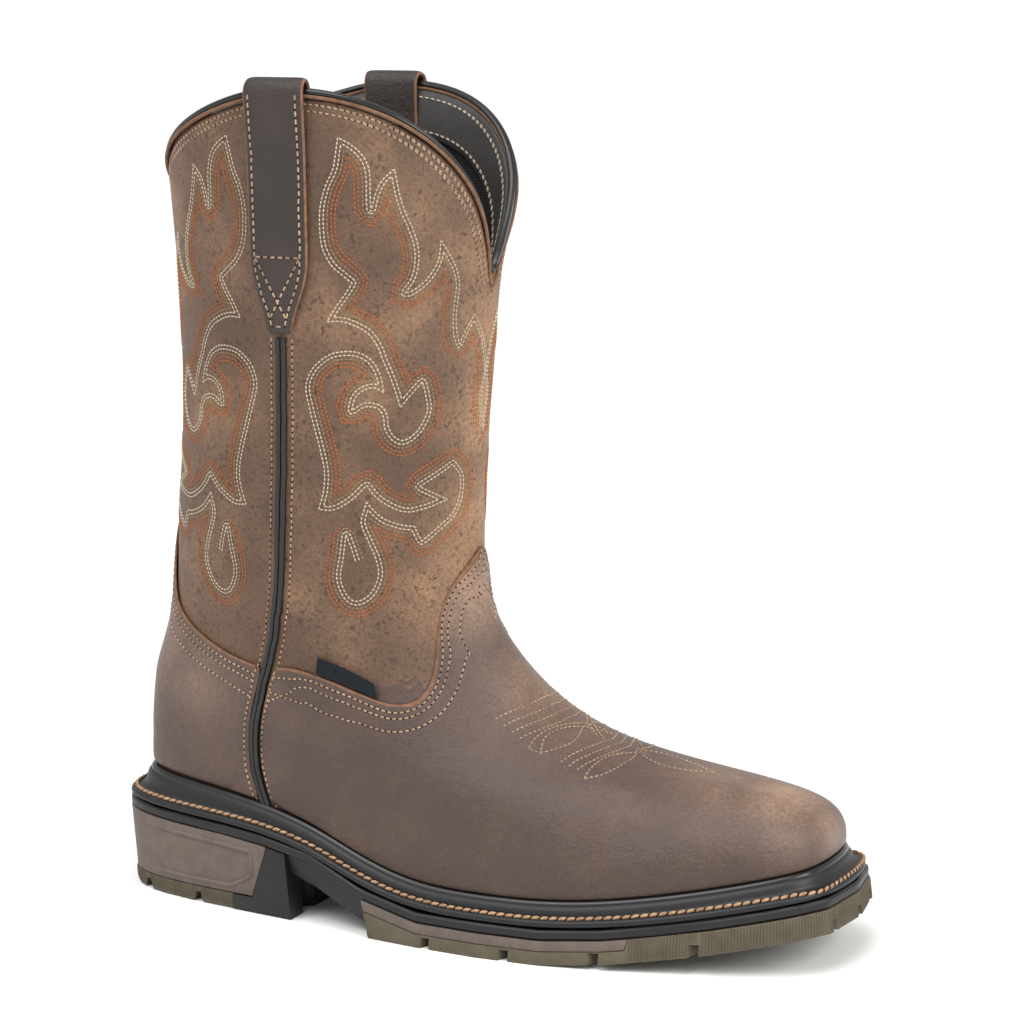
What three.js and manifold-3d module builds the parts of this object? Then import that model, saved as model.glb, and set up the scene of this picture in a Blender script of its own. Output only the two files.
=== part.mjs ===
// A western work boot for the right foot: a pull-on boot with a square toe, a scalloped collar,
// a storm welt and a lugged rubber sole. Millimetres, +Z up, +X to the toe, +Y to the inner
// (medial) side. The origin is on the ground under the middle of the heel.
import * as THREE from "three";
import { mergeVertices } from "three/addons/utils/BufferGeometryUtils.js";
import Module from "manifold-3d";

const wasm = await Module();
wasm.setup();

// The last and the shaft
const LAST_LENGTH = 298; // outside of the upper along the feather edge, heel to toe
const BALL_WIDTH = 98; // outside of the upper across the ball
const HEEL_WIDTH = 66; // outside of the upper across the heel seat
const INSTEP_HEIGHT = 115; // from the sole's top up to the throat, where foot turns to shaft
const TOE_SWING = 5; // how far the toe's middle lies to the inner side
const SHAFT_DEPTH = 132; // front to back at mid shaft
const SHAFT_WIDTH = 98; // side to side at mid shaft
const SHAFT_HEIGHT = 180; // from the throat up to the collar's side peaks
const FRONT_SCALLOP = 76; // how far the collar dips at the front
const BACK_SCALLOP = 44; // how far it dips at the back
const WALL = 2.6; // shaft leather and lining
const OVERLAY = 1.5; // vamp and counter leather
const CLEARANCE = 0.3; // between pieces that touch on the real boot

// The sole
const HEEL_STACK = 37.5; // ground to the midsole's top under the heel
const BALL_STACK = 13.5; // ground to the midsole's top under the ball
const TOE_SPRING = 17; // how far the toe's tread is off the ground
const MIDSOLE = 4;
const WELT_REACH = 9.5; // from the feather edge out to the welt's edge
const WELT_LEDGE = 3.8; // the welt's flat ledge above the midsole's top
const BEAD_HEIGHT = 10; // room for the storm bead above the midsole's top, along the forefoot
const BEAD_HEEL = 14.5; // and round the heel
const BEAD_THICKNESS = 4.6;
const WELT_GAP = 2 * CLEARANCE; // between the upper and the welt
const WELT_EDGE = 0.3; // rounding of the welt's edge
const WELT_GROOVE = 1.4; // from the bead to the stitched ledge
const MIDSOLE_BEVEL = 0.8;
const BEAD_LIP = 0.75; // where the bead's inner lip lies, share of the bead's height
const INSOLE = 3.4;
const HEEL_LENGTH = 94; // from the back of the heel to its breast, along the sole
const HEEL_LIFT = 6.4; // olive tread under the heel
const PLATE_DEPTH = 3.2; // the moulded plate let into the heel's side
const PLATE_SLANT = 14; // how far the plate's front edge leans
const PLATE_START = 19; // from the breast back to the plate's lower front corner
const LIFT_START = 26; // and to the front of the olive lift
const HEEL_REACH_SHARE = 1.3; // the sole's reach round the heel, share of the welt's reach
const TOE_REACH_SHARE = 1.2; // and round the toe
const HEEL_TAPER = 1.6; // how far the heel draws in towards the ground
const BREAST_RAKE = -3; // how far the breast's foot lies behind its top
const FLUTE_RADIUS = 5; // of the two upright flutes in the breast
const FLUTE_PLACE = 0.39; // from the middle, share of the heel's width
const ARCH_THICKNESS = 6;
const FOREFOOT_START = 0.4; // where the forefoot tread starts, share of the last's length
const INSERT_END = 0.79; // where the forefoot's side inserts end, share of the last's length
const INSERT_HEIGHT = 3.9;
const INSERT_DEPTH = 3;
const INSERT_SLANT = 5; // how far the inserts' ends lean
const TREAD_FLARE = 1; // how far the tread stands out past the midsole at the bottom
const ARROW_SWEEP = 18; // how far the arrow grooves fall back over half the ball's width
const EDGE_LUG = 15; // depth of the lugs along the tread's edge
const LUG_PITCH = 35; // spacing of the tread's main grooves
const LUG_GROOVE = 4; // width of a groove
const LUG_DEPTH = 4.2;

// Trim
const PIPING_RADIUS = 1.6; // side seam piping
const BINDING_HEIGHT = 2.6; // black roll along the collar
const BINDING_OVERHANG = 0.5;
const STRAP_WIDTH = 26;
const STRAP_THICKNESS = 2.2;
const STRAP_OUTSIDE = 93; // from the collar down to the strap's pointed end
const STRAP_INSIDE = 48; // from the collar down inside the shaft
const STRAP_LIFT = 4.2; // from the collar's edge up to the strap's underside
const STRAP_TIP = 0.4; // width of the pointed end, share of the strap's width
const STRAP_TAPER = 27; // length of the pointed end
const STRAP_BULGE = 1.5; // how far the strap stands off as it nears the collar
const TAG_PLACE = 0.69; // from the front round to the seam, share of the half way round
const TAG_LENGTH = 29;
const TAG_HEIGHT = 6.4;
const TAG_THICKNESS = 0.9;

const smooth = (t) => THREE.MathUtils.smoothstep(t, 0, 1);
const lerp = THREE.MathUtils.lerp;

// Value of a smooth curve through [x, y] points, held level past both ends.
function through(points, x) {
  const last = points.length - 1;
  if (x <= points[0][0]) return points[0][1];
  if (x >= points[last][0]) return points[last][1];
  let i = 0;
  while (x > points[i + 1][0]) i += 1;
  const [x0, y0] = points[i];
  const [x1, y1] = points[i + 1];
  const slope = (k) => {
    const a = points[Math.max(k - 1, 0)];
    const b = points[Math.min(k + 1, last)];
    return k === 0 || k === last ? 0 : (b[1] - a[1]) / (b[0] - a[0]);
  };
  const h = x1 - x0;
  const t = (x - x0) / h;
  const t2 = t * t;
  const t3 = t2 * t;
  return (
    (2 * t3 - 3 * t2 + 1) * y0 +
    (t3 - 2 * t2 + t) * h * slope(i) +
    (-2 * t3 + 3 * t2) * y1 +
    (t3 - t2) * h * slope(i + 1)
  );
}

// Top of the midsole above the ground, along the sole: heel seat, arch, ball, toe spring.
const SEAT_CURVE = [
  // share of last length, share of the drop from heel to ball
  [0.0, 1.0],
  [0.11, 0.95],
  [0.19, 0.9],
  [0.26, 0.81],
  [0.32, 0.68],
  [0.36, 0.5],
  [0.4, 0.26],
  [0.44, 0.08],
  [0.5, 0.0],
];
function seat(x) {
  const share = x / LAST_LENGTH;
  const drop = through(SEAT_CURVE, share);
  return BALL_STACK + (HEEL_STACK - BALL_STACK) * drop + spring(x);
}

// The toe's rise past the ball.
const SPRING_START = 0.66;
function spring(x) {
  const past = Math.max(0, x / LAST_LENGTH - SPRING_START) / (1 - SPRING_START);
  return TOE_SPRING * past ** 1.5;
}

// Loops round the foot, from the feather edge up to the ankle. Back and front are where a loop
// crosses the middle, in shares of the last's length, and the rises are its heights above the
// sole there, in shares of the instep height. Half widths are shares of the heel width at the
// heel, and of the ball width elsewhere, outer side first. Square is the superellipse power.
const FOOT_LOOPS = [
  {
    back: 0.014, backRise: 0.0, front: 1.0, frontRise: 0.0, square: [3.0, 5], follow: 1,
    heel: 0.44, waist: [0.41, 0.25], ball: [0.5, 0.46], toe: [0.325, 0.34],
  },
  {
    back: 0.013, backRise: 0.07, front: 1.005, frontRise: 0.07, square: [3.0, 5], follow: 1,
    heel: 0.47, waist: [0.43, 0.28], ball: [0.515, 0.475], toe: [0.335, 0.35],
  },
  {
    back: 0.011, backRise: 0.155, front: 1.006, frontRise: 0.16, square: [3.0, 4.6], follow: 0.95,
    heel: 0.485, waist: [0.44, 0.32], ball: [0.515, 0.475], toe: [0.33, 0.345],
  },
  {
    back: 0.012, backRise: 0.22, front: 0.99, frontRise: 0.23, square: [2.9, 4.0], follow: 0.85,
    heel: 0.49, waist: [0.44, 0.345], ball: [0.495, 0.465], toe: [0.31, 0.32],
  },
  {
    back: 0.011, backRise: 0.275, front: 0.953, frontRise: 0.295, square: [2.8, 3.3], follow: 0.7,
    heel: 0.49, waist: [0.435, 0.365], ball: [0.475, 0.455], toe: [0.3, 0.31],
  },
  {
    back: 0.012, backRise: 0.33, front: 0.872, frontRise: 0.375, square: [2.7, 2.7], follow: 0.5,
    heel: 0.49, waist: [0.43, 0.38], ball: [0.455, 0.445], toe: [0.33, 0.34],
  },
  {
    back: 0.014, backRise: 0.4, front: 0.765, frontRise: 0.46, square: [2.6, 2.3], follow: 0.35,
    heel: 0.485, waist: [0.42, 0.39], ball: [0.435, 0.43], toe: [0.37, 0.38],
  },
  {
    back: 0.019, backRise: 0.49, front: 0.664, frontRise: 0.565, square: [2.5, 2.15], follow: 0.2,
    heel: 0.49, waist: [0.405, 0.395], ball: [0.42, 0.415], toe: [0.39, 0.39],
  },
  {
    back: 0.032, backRise: 0.59, front: 0.576, frontRise: 0.725, square: [2.35, 2.05], follow: 0.1,
    heel: 0.505, waist: [0.4, 0.4], ball: [0.405, 0.405], toe: [0.385, 0.385],
  },
  {
    back: 0.046, backRise: 0.72, front: 0.517, frontRise: 0.93, square: [2.2, 2], follow: 0,
    heel: 0.535, waist: [0.41, 0.41], ball: [0.405, 0.405], toe: [0.39, 0.39],
  },
  {
    back: 0.052, backRise: 0.88, front: 0.503, frontRise: 1.13, square: [2.1, 2], follow: 0,
    heel: 0.6, waist: [0.425, 0.425], ball: [0.415, 0.415], toe: [0.4, 0.4],
  },
];

// Loops round the shaft. Rise is a share of the shaft height above the throat, front first
// because the lower ones still tilt; back and depth are shares of the shaft depth.
const SHAFT_LOOPS = [
  { backRise: 0.03, frontRise: 0.24, back: 0.126, depth: 1.017, half: 0.465 },
  { backRise: 0.27, frontRise: 0.4, back: 0.154, depth: 1.005, half: 0.49 },
  { backRise: 0.53, frontRise: 0.6, back: 0.15, depth: 1.029, half: 0.51 },
  { backRise: 0.78, frontRise: 0.8, back: 0.124, depth: 1.11, half: 0.53 },
  { backRise: 1.02, frontRise: 1.02, back: 0.085, depth: 1.155, half: 0.545 },
];

const BALL_FULLNESS = 1.035; // makes up for the easing at the ball

// Every loop in millimetres, feather edge first.
const LOOPS = [
  ...FOOT_LOOPS.map((row) => {
    const back = row.back * LAST_LENGTH;
    const front = row.front * LAST_LENGTH;
    return {
      back,
      front,
      backZ: seat(back) + row.backRise * INSTEP_HEIGHT,
      frontZ: seat(front) + row.frontRise * INSTEP_HEIGHT,
      stations: [0, 1].map((side) => [
        [0.13, row.heel * HEEL_WIDTH],
        [0.4, row.waist[side] * BALL_WIDTH],
        [0.68, BALL_FULLNESS * row.ball[side] * BALL_WIDTH],
        [0.96, row.toe[side] * BALL_WIDTH],
      ]),
      square: row.square,
      follow: row.follow,
    };
  }),
  ...SHAFT_LOOPS.map((row) => {
    const throat = HEEL_STACK + INSTEP_HEIGHT;
    const back = row.back * SHAFT_DEPTH;
    const half = row.half * SHAFT_WIDTH;
    return {
      back,
      front: back + row.depth * SHAFT_DEPTH,
      backZ: throat + row.backRise * SHAFT_HEIGHT,
      frontZ: throat + row.frontRise * SHAFT_HEIGHT,
      stations: [0, 1].map(() => [0.13, 0.4, 0.68, 0.96].map((a) => [a, half])),
      square: [2, 2],
      follow: 0,
    };
  }),
];
const TOP = LOOPS.length - 1;
const EASING = [-0.14, -0.07, 0, 0.07, 0.14]; // shares of a loop's length

// Middle of the boot in plan: the toe swings to the inner side.
const middle = (x) => TOE_SWING * smooth((x / LAST_LENGTH - 0.3) / 0.7);

// Half width of a loop at a share of its length, with the bend at the ball eased.
function halfWidth(stations, share) {
  const near = EASING.map((step) => through(stations, share + step));
  return near.reduce((sum, width) => sum + width) / near.length;
}

// A point of one loop. Round runs 0 to 1: back, outer side at 0.25, front at 0.5, inner side.
function loopPoint(loop, round) {
  const angle = 2 * Math.PI * round;
  const along = -Math.cos(angle);
  const power = loop.square[along > 0 ? 1 : 0];
  const share = 0.5 + 0.5 * along;
  const closing = Math.max(0, 1 - Math.abs(along) ** power) ** (1 / power);
  const side = Math.sin(angle) > 0 ? 0 : 1;
  const half = closing * halfWidth(loop.stations[side], share);
  const x = lerp(loop.back, loop.front, share);
  const sag = seat(x) - lerp(seat(loop.back), seat(loop.front), share);
  const z = lerp(loop.backZ, loop.frontZ, share) + loop.follow * sag;
  return new THREE.Vector3(x, middle(x) + (side ? half : -half), z);
}

// The upper's outside: level runs from 0 at the feather edge to TOP, through every loop.
function skin(round, level) {
  const at = THREE.MathUtils.clamp(level, 0, TOP);
  const i = Math.min(Math.floor(at), TOP - 1);
  const t = at - i;
  const near = [i - 1, i, i + 1, i + 2].map((k) =>
    loopPoint(LOOPS[THREE.MathUtils.clamp(k, 0, TOP)], round),
  );
  const weights = [
    0.5 * (-t + 2 * t * t - t * t * t),
    0.5 * (2 - 5 * t * t + 3 * t * t * t),
    0.5 * (t + 4 * t * t - 3 * t * t * t),
    0.5 * (-t * t + t * t * t),
  ];
  const point = new THREE.Vector3();
  near.forEach((p, k) => point.addScaledVector(p, weights[k]));
  return point;
}

const STEP = 0.004;
function outward(round, level) {
  const across = skin(round + STEP, level).sub(skin(round - STEP, level));
  const up = skin(round, Math.min(level + 0.1, TOP)).sub(skin(round, Math.max(level - 0.1, 0)));
  return across.cross(up).normalize();
}

// The skin moved out by a distance, or in where it is negative.
function layer(round, level, distance) {
  return skin(round, level).addScaledVector(outward(round, level), distance);
}

// Smallest input between low and high at which a rising test turns true.
function firstTrue(low, high, test) {
  for (let k = 0; k < 26; k += 1) {
    const mid = (low + high) / 2;
    if (test(mid)) high = mid;
    else low = mid;
  }
  return (low + high) / 2;
}

const levelAtHeight = (round, z) => firstTrue(0, TOP, (level) => skin(round, level).z > z);

// Collar: high at both sides, dipped at the front and the back.
const COLLAR_PEAK = HEEL_STACK + INSTEP_HEIGHT + SHAFT_HEIGHT;
function collarHeight(round) {
  const past = 4 * Math.abs(round < 0.5 ? round - 0.25 : round - 0.75); // 0 at the sides
  const front = round > 0.25 && round < 0.75;
  return COLLAR_PEAK - (front ? FRONT_SCALLOP * past ** 2.35 : BACK_SCALLOP * past ** 1.4);
}
const collarLevel = (round) => levelAtHeight(round, collarHeight(round));

// Side seam, as distances from the heel's back at heights above the ground.
const SEAM_LINE = [
  // share of collar peak, share of last length
  [0.09, 0.245],
  [0.14, 0.233],
  [0.182, 0.219],
  [0.241, 0.224],
  [0.315, 0.251],
  [0.391, 0.27],
  [0.466, 0.278],
  [0.576, 0.288],
  [0.709, 0.294],
  [1.0, 0.297],
];
const seamX = (z) => LAST_LENGTH * through(SEAM_LINE, z / COLLAR_PEAK);

// Where the seam, moved forward by some millimetres, crosses a level that may depend on round.
function seamRound(side, levelOf, forward) {
  const round = (share) => (side === "outer" ? share : 1 - share);
  const share = firstTrue(0.04, 0.46, (s) => {
    const point = skin(round(s), levelOf(round(s)));
    return point.x > seamX(point.z) + forward;
  });
  return round(share);
}

// Top edge of the counter and of the vamp. Way is a share of the half way round the boot, from
// the back to the front.
const THROAT = HEEL_STACK + INSTEP_HEIGHT;
const EDGE_LINE = [
  // way, share of the throat's height above ground
  [0.0, 1.04],
  [0.05, 1.03],
  [0.085, 0.95],
  [0.12, 0.855],
  [0.174, 0.803],
  [0.25, 0.755],
  [0.318, 0.719],
  [0.38, 0.69],
  [0.43, 0.68],
  [0.48, 0.69],
  [0.533, 0.673],
  [0.586, 0.64],
  [0.63, 0.602],
  [0.665, 0.608],
  [0.717, 0.647],
  [0.77, 0.72],
  [0.806, 0.808],
  [0.826, 0.868],
  [0.886, 0.93],
  [0.96, 0.985],
  [1.0, 1.01],
];
const wayRound = (round) => 1 - Math.abs(1 - 2 * round);

// A geometry from vertices and triangles.
function geometryOf(points, triangles) {
  const positions = new Float32Array(points.length * 3);
  points.forEach((p, i) => p.toArray(positions, i * 3));
  const geometry = new THREE.BufferGeometry();
  geometry.setAttribute("position", new THREE.BufferAttribute(positions, 3));
  geometry.setIndex(triangles);
  return geometry;
}

// A closed sheet: front and back are grids of points, with rims between them. Seen from the
// front, columns run to the right and rows run up. Either way round may close on itself.
function sheetGeometry(front, back, wrapColumns, wrapRows = false) {
  const columns = front.length;
  const rows = front[0].length;
  const points = [...front.flat(), ...back.flat()];
  const id = (side, i, j) => side * columns * rows + (i % columns) * rows + (j % rows);
  const triangles = [];
  const quad = (a, b, c, d) => triangles.push(a, b, c, a, c, d);
  const lastColumn = wrapColumns ? columns : columns - 1;
  const lastRow = wrapRows ? rows : rows - 1;
  for (let i = 0; i < lastColumn; i += 1) {
    for (let j = 0; j < lastRow; j += 1) {
      quad(id(0, i, j), id(0, i + 1, j), id(0, i + 1, j + 1), id(0, i, j + 1));
      quad(id(1, i, j), id(1, i, j + 1), id(1, i + 1, j + 1), id(1, i + 1, j));
    }
  }
  if (!wrapRows) {
    for (let i = 0; i < lastColumn; i += 1) {
      quad(id(0, i, rows - 1), id(0, i + 1, rows - 1), id(1, i + 1, rows - 1), id(1, i, rows - 1));
      quad(id(0, i + 1, 0), id(0, i, 0), id(1, i, 0), id(1, i + 1, 0));
    }
  }
  if (!wrapColumns) {
    for (let j = 0; j < lastRow; j += 1) {
      quad(id(0, 0, j), id(0, 0, j + 1), id(1, 0, j + 1), id(1, 0, j));
      const end = columns - 1;
      quad(id(0, end, j + 1), id(0, end, j), id(1, end, j), id(1, end, j + 1));
    }
  }
  return geometryOf(points, triangles);
}

// A closed ring swept round the boot: each column is a closed section of points, counter-
// clockwise as seen looking along the way round.
function ringGeometry(sections) {
  const columns = sections.length;
  const rows = sections[0].length;
  const triangles = [];
  const id = (i, j) => (i % columns) * rows + (j % rows);
  for (let i = 0; i < columns; i += 1) {
    for (let j = 0; j < rows; j += 1) {
      triangles.push(id(i, j), id(i + 1, j), id(i, j + 1));
      triangles.push(id(i + 1, j), id(i + 1, j + 1), id(i, j + 1));
    }
  }
  return geometryOf(sections.flat(), triangles);
}

// A closed slab from stacked loops, lowest first. Each loop starts at the back, and its points
// pair up across the boot, so that strips close the bottom and the top.
function slabGeometry(loops) {
  const count = loops[0].length;
  const triangles = [];
  const quad = (a, b, c, d) => triangles.push(a, b, c, a, c, d);
  for (let j = 0; j + 1 < loops.length; j += 1) {
    for (let i = 0; i < count; i += 1) {
      const next = (i + 1) % count;
      quad(j * count + i, j * count + next, (j + 1) * count + next, (j + 1) * count + i);
    }
  }
  const top = (loops.length - 1) * count;
  for (let i = 0; i < count / 2; i += 1) {
    const next = i + 1;
    const [a, b] = [(count - i) % count, count - next];
    if (i === 0) {
      triangles.push(top, top + next, top + b, 0, b, next);
    } else if (next === count / 2) {
      triangles.push(top + i, top + next, top + a, i, a, next);
    } else {
      quad(top + i, top + next, top + b, top + a);
      quad(i, a, b, next);
    }
  }
  return geometryOf(loops.flat(), triangles);
}

function solidOf(geometry) {
  const bare = geometry.index ? geometry.clone() : geometry;
  bare.deleteAttribute("normal");
  bare.deleteAttribute("uv");
  const merged = mergeVertices(bare, 1e-4);
  return new wasm.Manifold(
    new wasm.Mesh({
      numProp: 3,
      vertProperties: merged.attributes.position.array,
      triVerts: new Uint32Array(merged.index.array),
    }),
  );
}

function geometryFrom(solid) {
  const mesh = solid.getMesh();
  const geometry = new THREE.BufferGeometry();
  geometry.setAttribute("position", new THREE.BufferAttribute(mesh.vertProperties, 3));
  geometry.setIndex(new THREE.BufferAttribute(mesh.triVerts, 1));
  return geometry;
}

const boot = new THREE.Group();
const HEEL_CENTRE = 32; // from the last's back to the heel's middle
boot.position.set(-HEEL_CENTRE, 0, 0);

function addPiece(name, geometry, color, roughness) {
  const material = new THREE.MeshStandardMaterial({ color, roughness, metalness: 0 });
  const mesh = new THREE.Mesh(geometry, material);
  mesh.name = name;
  boot.add(mesh);
  return mesh;
}

const range = (count, make) => Array.from({ length: count }, (_, i) => make(i));

// Grid of the upper. Rows run from the feather edge to the storm bead, to the top edge of vamp
// and counter, then on to the collar. Columns 0, QUARTER and so on lie at the back, the seams
// and the front.
const QUARTER = 12;
const COLUMNS = 4 * QUARTER;
const FOOT_ROWS = 13;
const SHAFT_ROWS = 10;
const ROWS = FOOT_ROWS + SHAFT_ROWS;

// A function of round that keeps what it has worked out.
function remembered(make) {
  const known = new Map();
  return (round) => {
    const key = round.toFixed(5);
    if (!known.has(key)) known.set(key, make(round));
    return known.get(key);
  };
}
const edgeLevel = remembered((round) =>
  levelAtHeight(round, THROAT * through(EDGE_LINE, wayRound(round))),
);
const beadAt = (x) => lerp(BEAD_HEEL, BEAD_HEIGHT, smooth(x / (FOREFOOT_START * LAST_LENGTH)));
const beadLevel = remembered((round) =>
  firstTrue(0, TOP, (level) => {
    const point = skin(round, level);
    return point.z > seat(point.x) + beadAt(point.x);
  }),
);

function rowLevel(j, round) {
  if (j === 0) return 0;
  if (j <= FOOT_ROWS) return lerp(beadLevel(round), edgeLevel(round), (j - 1) / (FOOT_ROWS - 1));
  return lerp(edgeLevel(round), collarLevel(round), (j - FOOT_ROWS) / SHAFT_ROWS);
}

// Round of each column along a row: the side columns follow the seams.
const columnRounds = range(ROWS + 1, (j) => {
  const levelOf = (round) => rowLevel(j, round);
  const stops = [0, seamRound("outer", levelOf, 0), 0.5, seamRound("inner", levelOf, 0), 1];
  return range(COLUMNS + 1, (i) => {
    const k = Math.min(Math.floor(i / QUARTER), 3);
    return lerp(stops[k], stops[k + 1], i / QUARTER - k);
  });
});
function gridLayer(i, j, distance) {
  const round = columnRounds[j][i];
  const point = layer(round, rowLevel(j, round), distance);
  if (j === 0) point.z = seat(skin(round, 0).x) + CLEARANCE;
  return point;
}

// Upper: one hollow wall from the midsole up to the collar.
function buildUpper() {
  const side = (distance) =>
    range(COLUMNS, (i) => range(ROWS + 1, (j) => gridLayer(i, j, distance)));
  addPiece("upper", sheetGeometry(side(0), side(-WALL), true), 0x7a5538, 0.7);
}

// Overlays: the vamp in front of the side seams, the counter behind them.
const SEAM_HALF = PIPING_RADIUS + 0.8; // from the seam's line to the leather's edge
function overlay(name, first, last, forward, color) {
  const side = (distance) =>
    range(last - first + 1, (k) =>
      range(FOOT_ROWS, (row) => {
        const j = row + 1;
        const i = first + k;
        if (k > 0 && i < last) return gridLayer((i + COLUMNS) % COLUMNS, j, distance);
        const seam = (k === 0) === (forward > 0) ? "outer" : "inner";
        const levelOf = (r) => rowLevel(j, r);
        const round = seamRound(seam, levelOf, forward);
        return layer(round, levelOf(round), distance);
      }),
    );
  const sheet = sheetGeometry(side(CLEARANCE + OVERLAY), side(CLEARANCE), false);
  addPiece(name, sheet, color, 0.65);
}

function buildOverlays() {
  overlay("vamp", QUARTER, 3 * QUARTER, SEAM_HALF, 0x5d4638);
  overlay("counter", -QUARTER, QUARTER, -SEAM_HALF, 0x604a3c);
}

// Outlines of the sole's layers: the feather edge moved out in plan.
const footEdge = range(COLUMNS, (i) => {
  const round = columnRounds[0][i];
  const way = skin(round + STEP, 0).sub(skin(round - STEP, 0));
  return { foot: skin(round, 0), out: new THREE.Vector3(way.y, -way.x, 0).normalize() };
});
// The sole reaches a little further round the heel and the toe than along the sides.
const reachShare = (x) =>
  lerp(HEEL_REACH_SHARE, 1, smooth(x / (FOREFOOT_START * LAST_LENGTH))) +
  (TOE_REACH_SHARE - 1) * smooth((x / LAST_LENGTH - SPRING_START) / (1 - SPRING_START));
function edgePoint({ foot, out }, offset, z) {
  const point = foot.clone().addScaledVector(out, offset * reachShare(foot.x));
  point.z = z;
  return point;
}
const soleLoop = (offset, heightOf) =>
  footEdge.map((edge) => edgePoint(edge, offset, heightOf(edge.foot.x)));

function buildWelt() {
  const sections = footEdge.map((edge, i) => {
    const wall = (share) => gridLayer(i, 0, WELT_GAP).lerp(gridLayer(i, 1, WELT_GAP), share);
    const ledge = (offset, rise) => edgePoint(edge, offset, seat(edge.foot.x) + rise);
    const lip = wall(BEAD_LIP);
    const bead = (out, up) =>
      lip
        .clone()
        .addScaledVector(edge.out, out * BEAD_THICKNESS)
        .add(new THREE.Vector3(0, 0, up * beadAt(edge.foot.x)));
    return [
      wall(0),
      ledge(WELT_REACH, CLEARANCE),
      ledge(WELT_REACH + WELT_EDGE, WELT_LEDGE / 2),
      ledge(WELT_REACH - WELT_EDGE, WELT_LEDGE),
      ledge(BEAD_THICKNESS + WELT_GROOVE, WELT_LEDGE - WELT_EDGE),
      bead(0.95, -0.28),
      bead(0.8, -0.03),
      bead(0.35, 0.1),
      lip,
    ];
  });
  addPiece("welt", ringGeometry(sections), 0x1d1e20, 0.5);
}

const solid = (geometry) => {
  const made = solidOf(geometry);
  if (made.volume() <= 0) throw new Error("a solid is inside out");
  return made;
};

// A layer of the sole between two heights, with its own offset at each.
const tier = (lowOffset, highOffset, lowOf, highOf) =>
  solid(slabGeometry([soleLoop(lowOffset, lowOf), soleLoop(highOffset, highOf)]));

const underMidsole = (x) => seat(x) - MIDSOLE - CLEARANCE;

// A bar across the boot, from an outline of [x, z] points seen from the side.
function crossBar(outline, yLow = -BALL_WIDTH, yHigh = BALL_WIDTH) {
  const shape = new THREE.Shape(outline.map(([x, z]) => new THREE.Vector2(x, z)));
  const geometry = new THREE.ExtrudeGeometry(shape, { depth: yHigh - yLow, bevelEnabled: false });
  return solid(geometry.rotateX(Math.PI / 2).translate(0, yHigh, 0));
}

// An upright post from an outline of [x, y] points seen from above.
function post(outline, zLow, zHigh) {
  const shape = new THREE.Shape(outline.map(([x, y]) => new THREE.Vector2(x, y)));
  const geometry = new THREE.ExtrudeGeometry(shape, { depth: zHigh - zLow, bevelEnabled: false });
  return solid(geometry.translate(0, 0, zLow));
}

function buildMidsole() {
  const low = (rise) => (x) => seat(x) - MIDSOLE + rise;
  const high = (rise) => (x) => seat(x) + rise;
  const geometry = slabGeometry([
    soleLoop(WELT_REACH - MIDSOLE_BEVEL, low(0)),
    soleLoop(WELT_REACH, low(MIDSOLE_BEVEL)),
    soleLoop(WELT_REACH, high(-MIDSOLE_BEVEL)),
    soleLoop(WELT_REACH - MIDSOLE_BEVEL, high(0)),
  ]);
  addPiece("midsole", geometry, 0x222326, 0.6);
}

function buildInsole() {
  const inset = -(WALL + 2 * CLEARANCE);
  const at = (rise) =>
    range(COLUMNS, (i) => {
      const share = rise / beadAt(footEdge[i].foot.x);
      const point = gridLayer(i, 0, inset).lerp(gridLayer(i, 1, inset), share);
      point.z = seat(footEdge[i].foot.x) + rise;
      return point;
    });
  const geometry = slabGeometry([at(CLEARANCE), at(CLEARANCE + INSOLE)]);
  addPiece("insole", geometry, 0x2a2a2c, 0.9);
}

// Grooves of the forefoot tread: arrows across it, notches in the toe, and one channel that
// follows the edge.
const TREAD_START = FOREFOOT_START * LAST_LENGTH;
const TREAD_END = LAST_LENGTH + WELT_REACH;
function treadGrooves() {
  const grooves = [];
  const sweep = (y) => (ARROW_SWEEP * y) / (BALL_WIDTH / 2);
  for (let edge = TREAD_START + LUG_PITCH; edge < TREAD_END - LUG_PITCH; edge += LUG_PITCH) {
    const tip = edge + ARROW_SWEEP;
    const tail = tip - sweep(BALL_WIDTH);
    const outline = [
      [tip, 0],
      [tail, BALL_WIDTH],
      [tail - LUG_GROOVE, BALL_WIDTH],
      [tip - LUG_GROOVE, 0],
      [tail - LUG_GROOVE, -BALL_WIDTH],
      [tail, -BALL_WIDTH],
    ];
    grooves.push(post(outline, -1, spring(edge) + LUG_DEPTH));
  }
  for (const y of [-0.62, 0, 0.62]) {
    const middleY = middle(LAST_LENGTH) + y * LUG_PITCH;
    const outline = [
      [TREAD_END - LUG_PITCH / 2, middleY - LUG_GROOVE / 2],
      [TREAD_END + LUG_PITCH, middleY - LUG_GROOVE / 2],
      [TREAD_END + LUG_PITCH, middleY + LUG_GROOVE / 2],
      [TREAD_END - LUG_PITCH / 2, middleY + LUG_GROOVE / 2],
    ];
    grooves.push(post(outline, -1, TOE_SPRING + LUG_DEPTH));
  }
  const below = () => -1;
  const above = (x) => spring(x) + LUG_DEPTH * 0.6;
  const outer = WELT_REACH - EDGE_LUG;
  const channel = tier(outer, outer, below, above);
  const inner = outer - LUG_GROOVE * 0.7;
  grooves.push(channel.subtract(tier(inner, inner, () => -2, () => HEEL_STACK)));
  return grooves;
}

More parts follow.
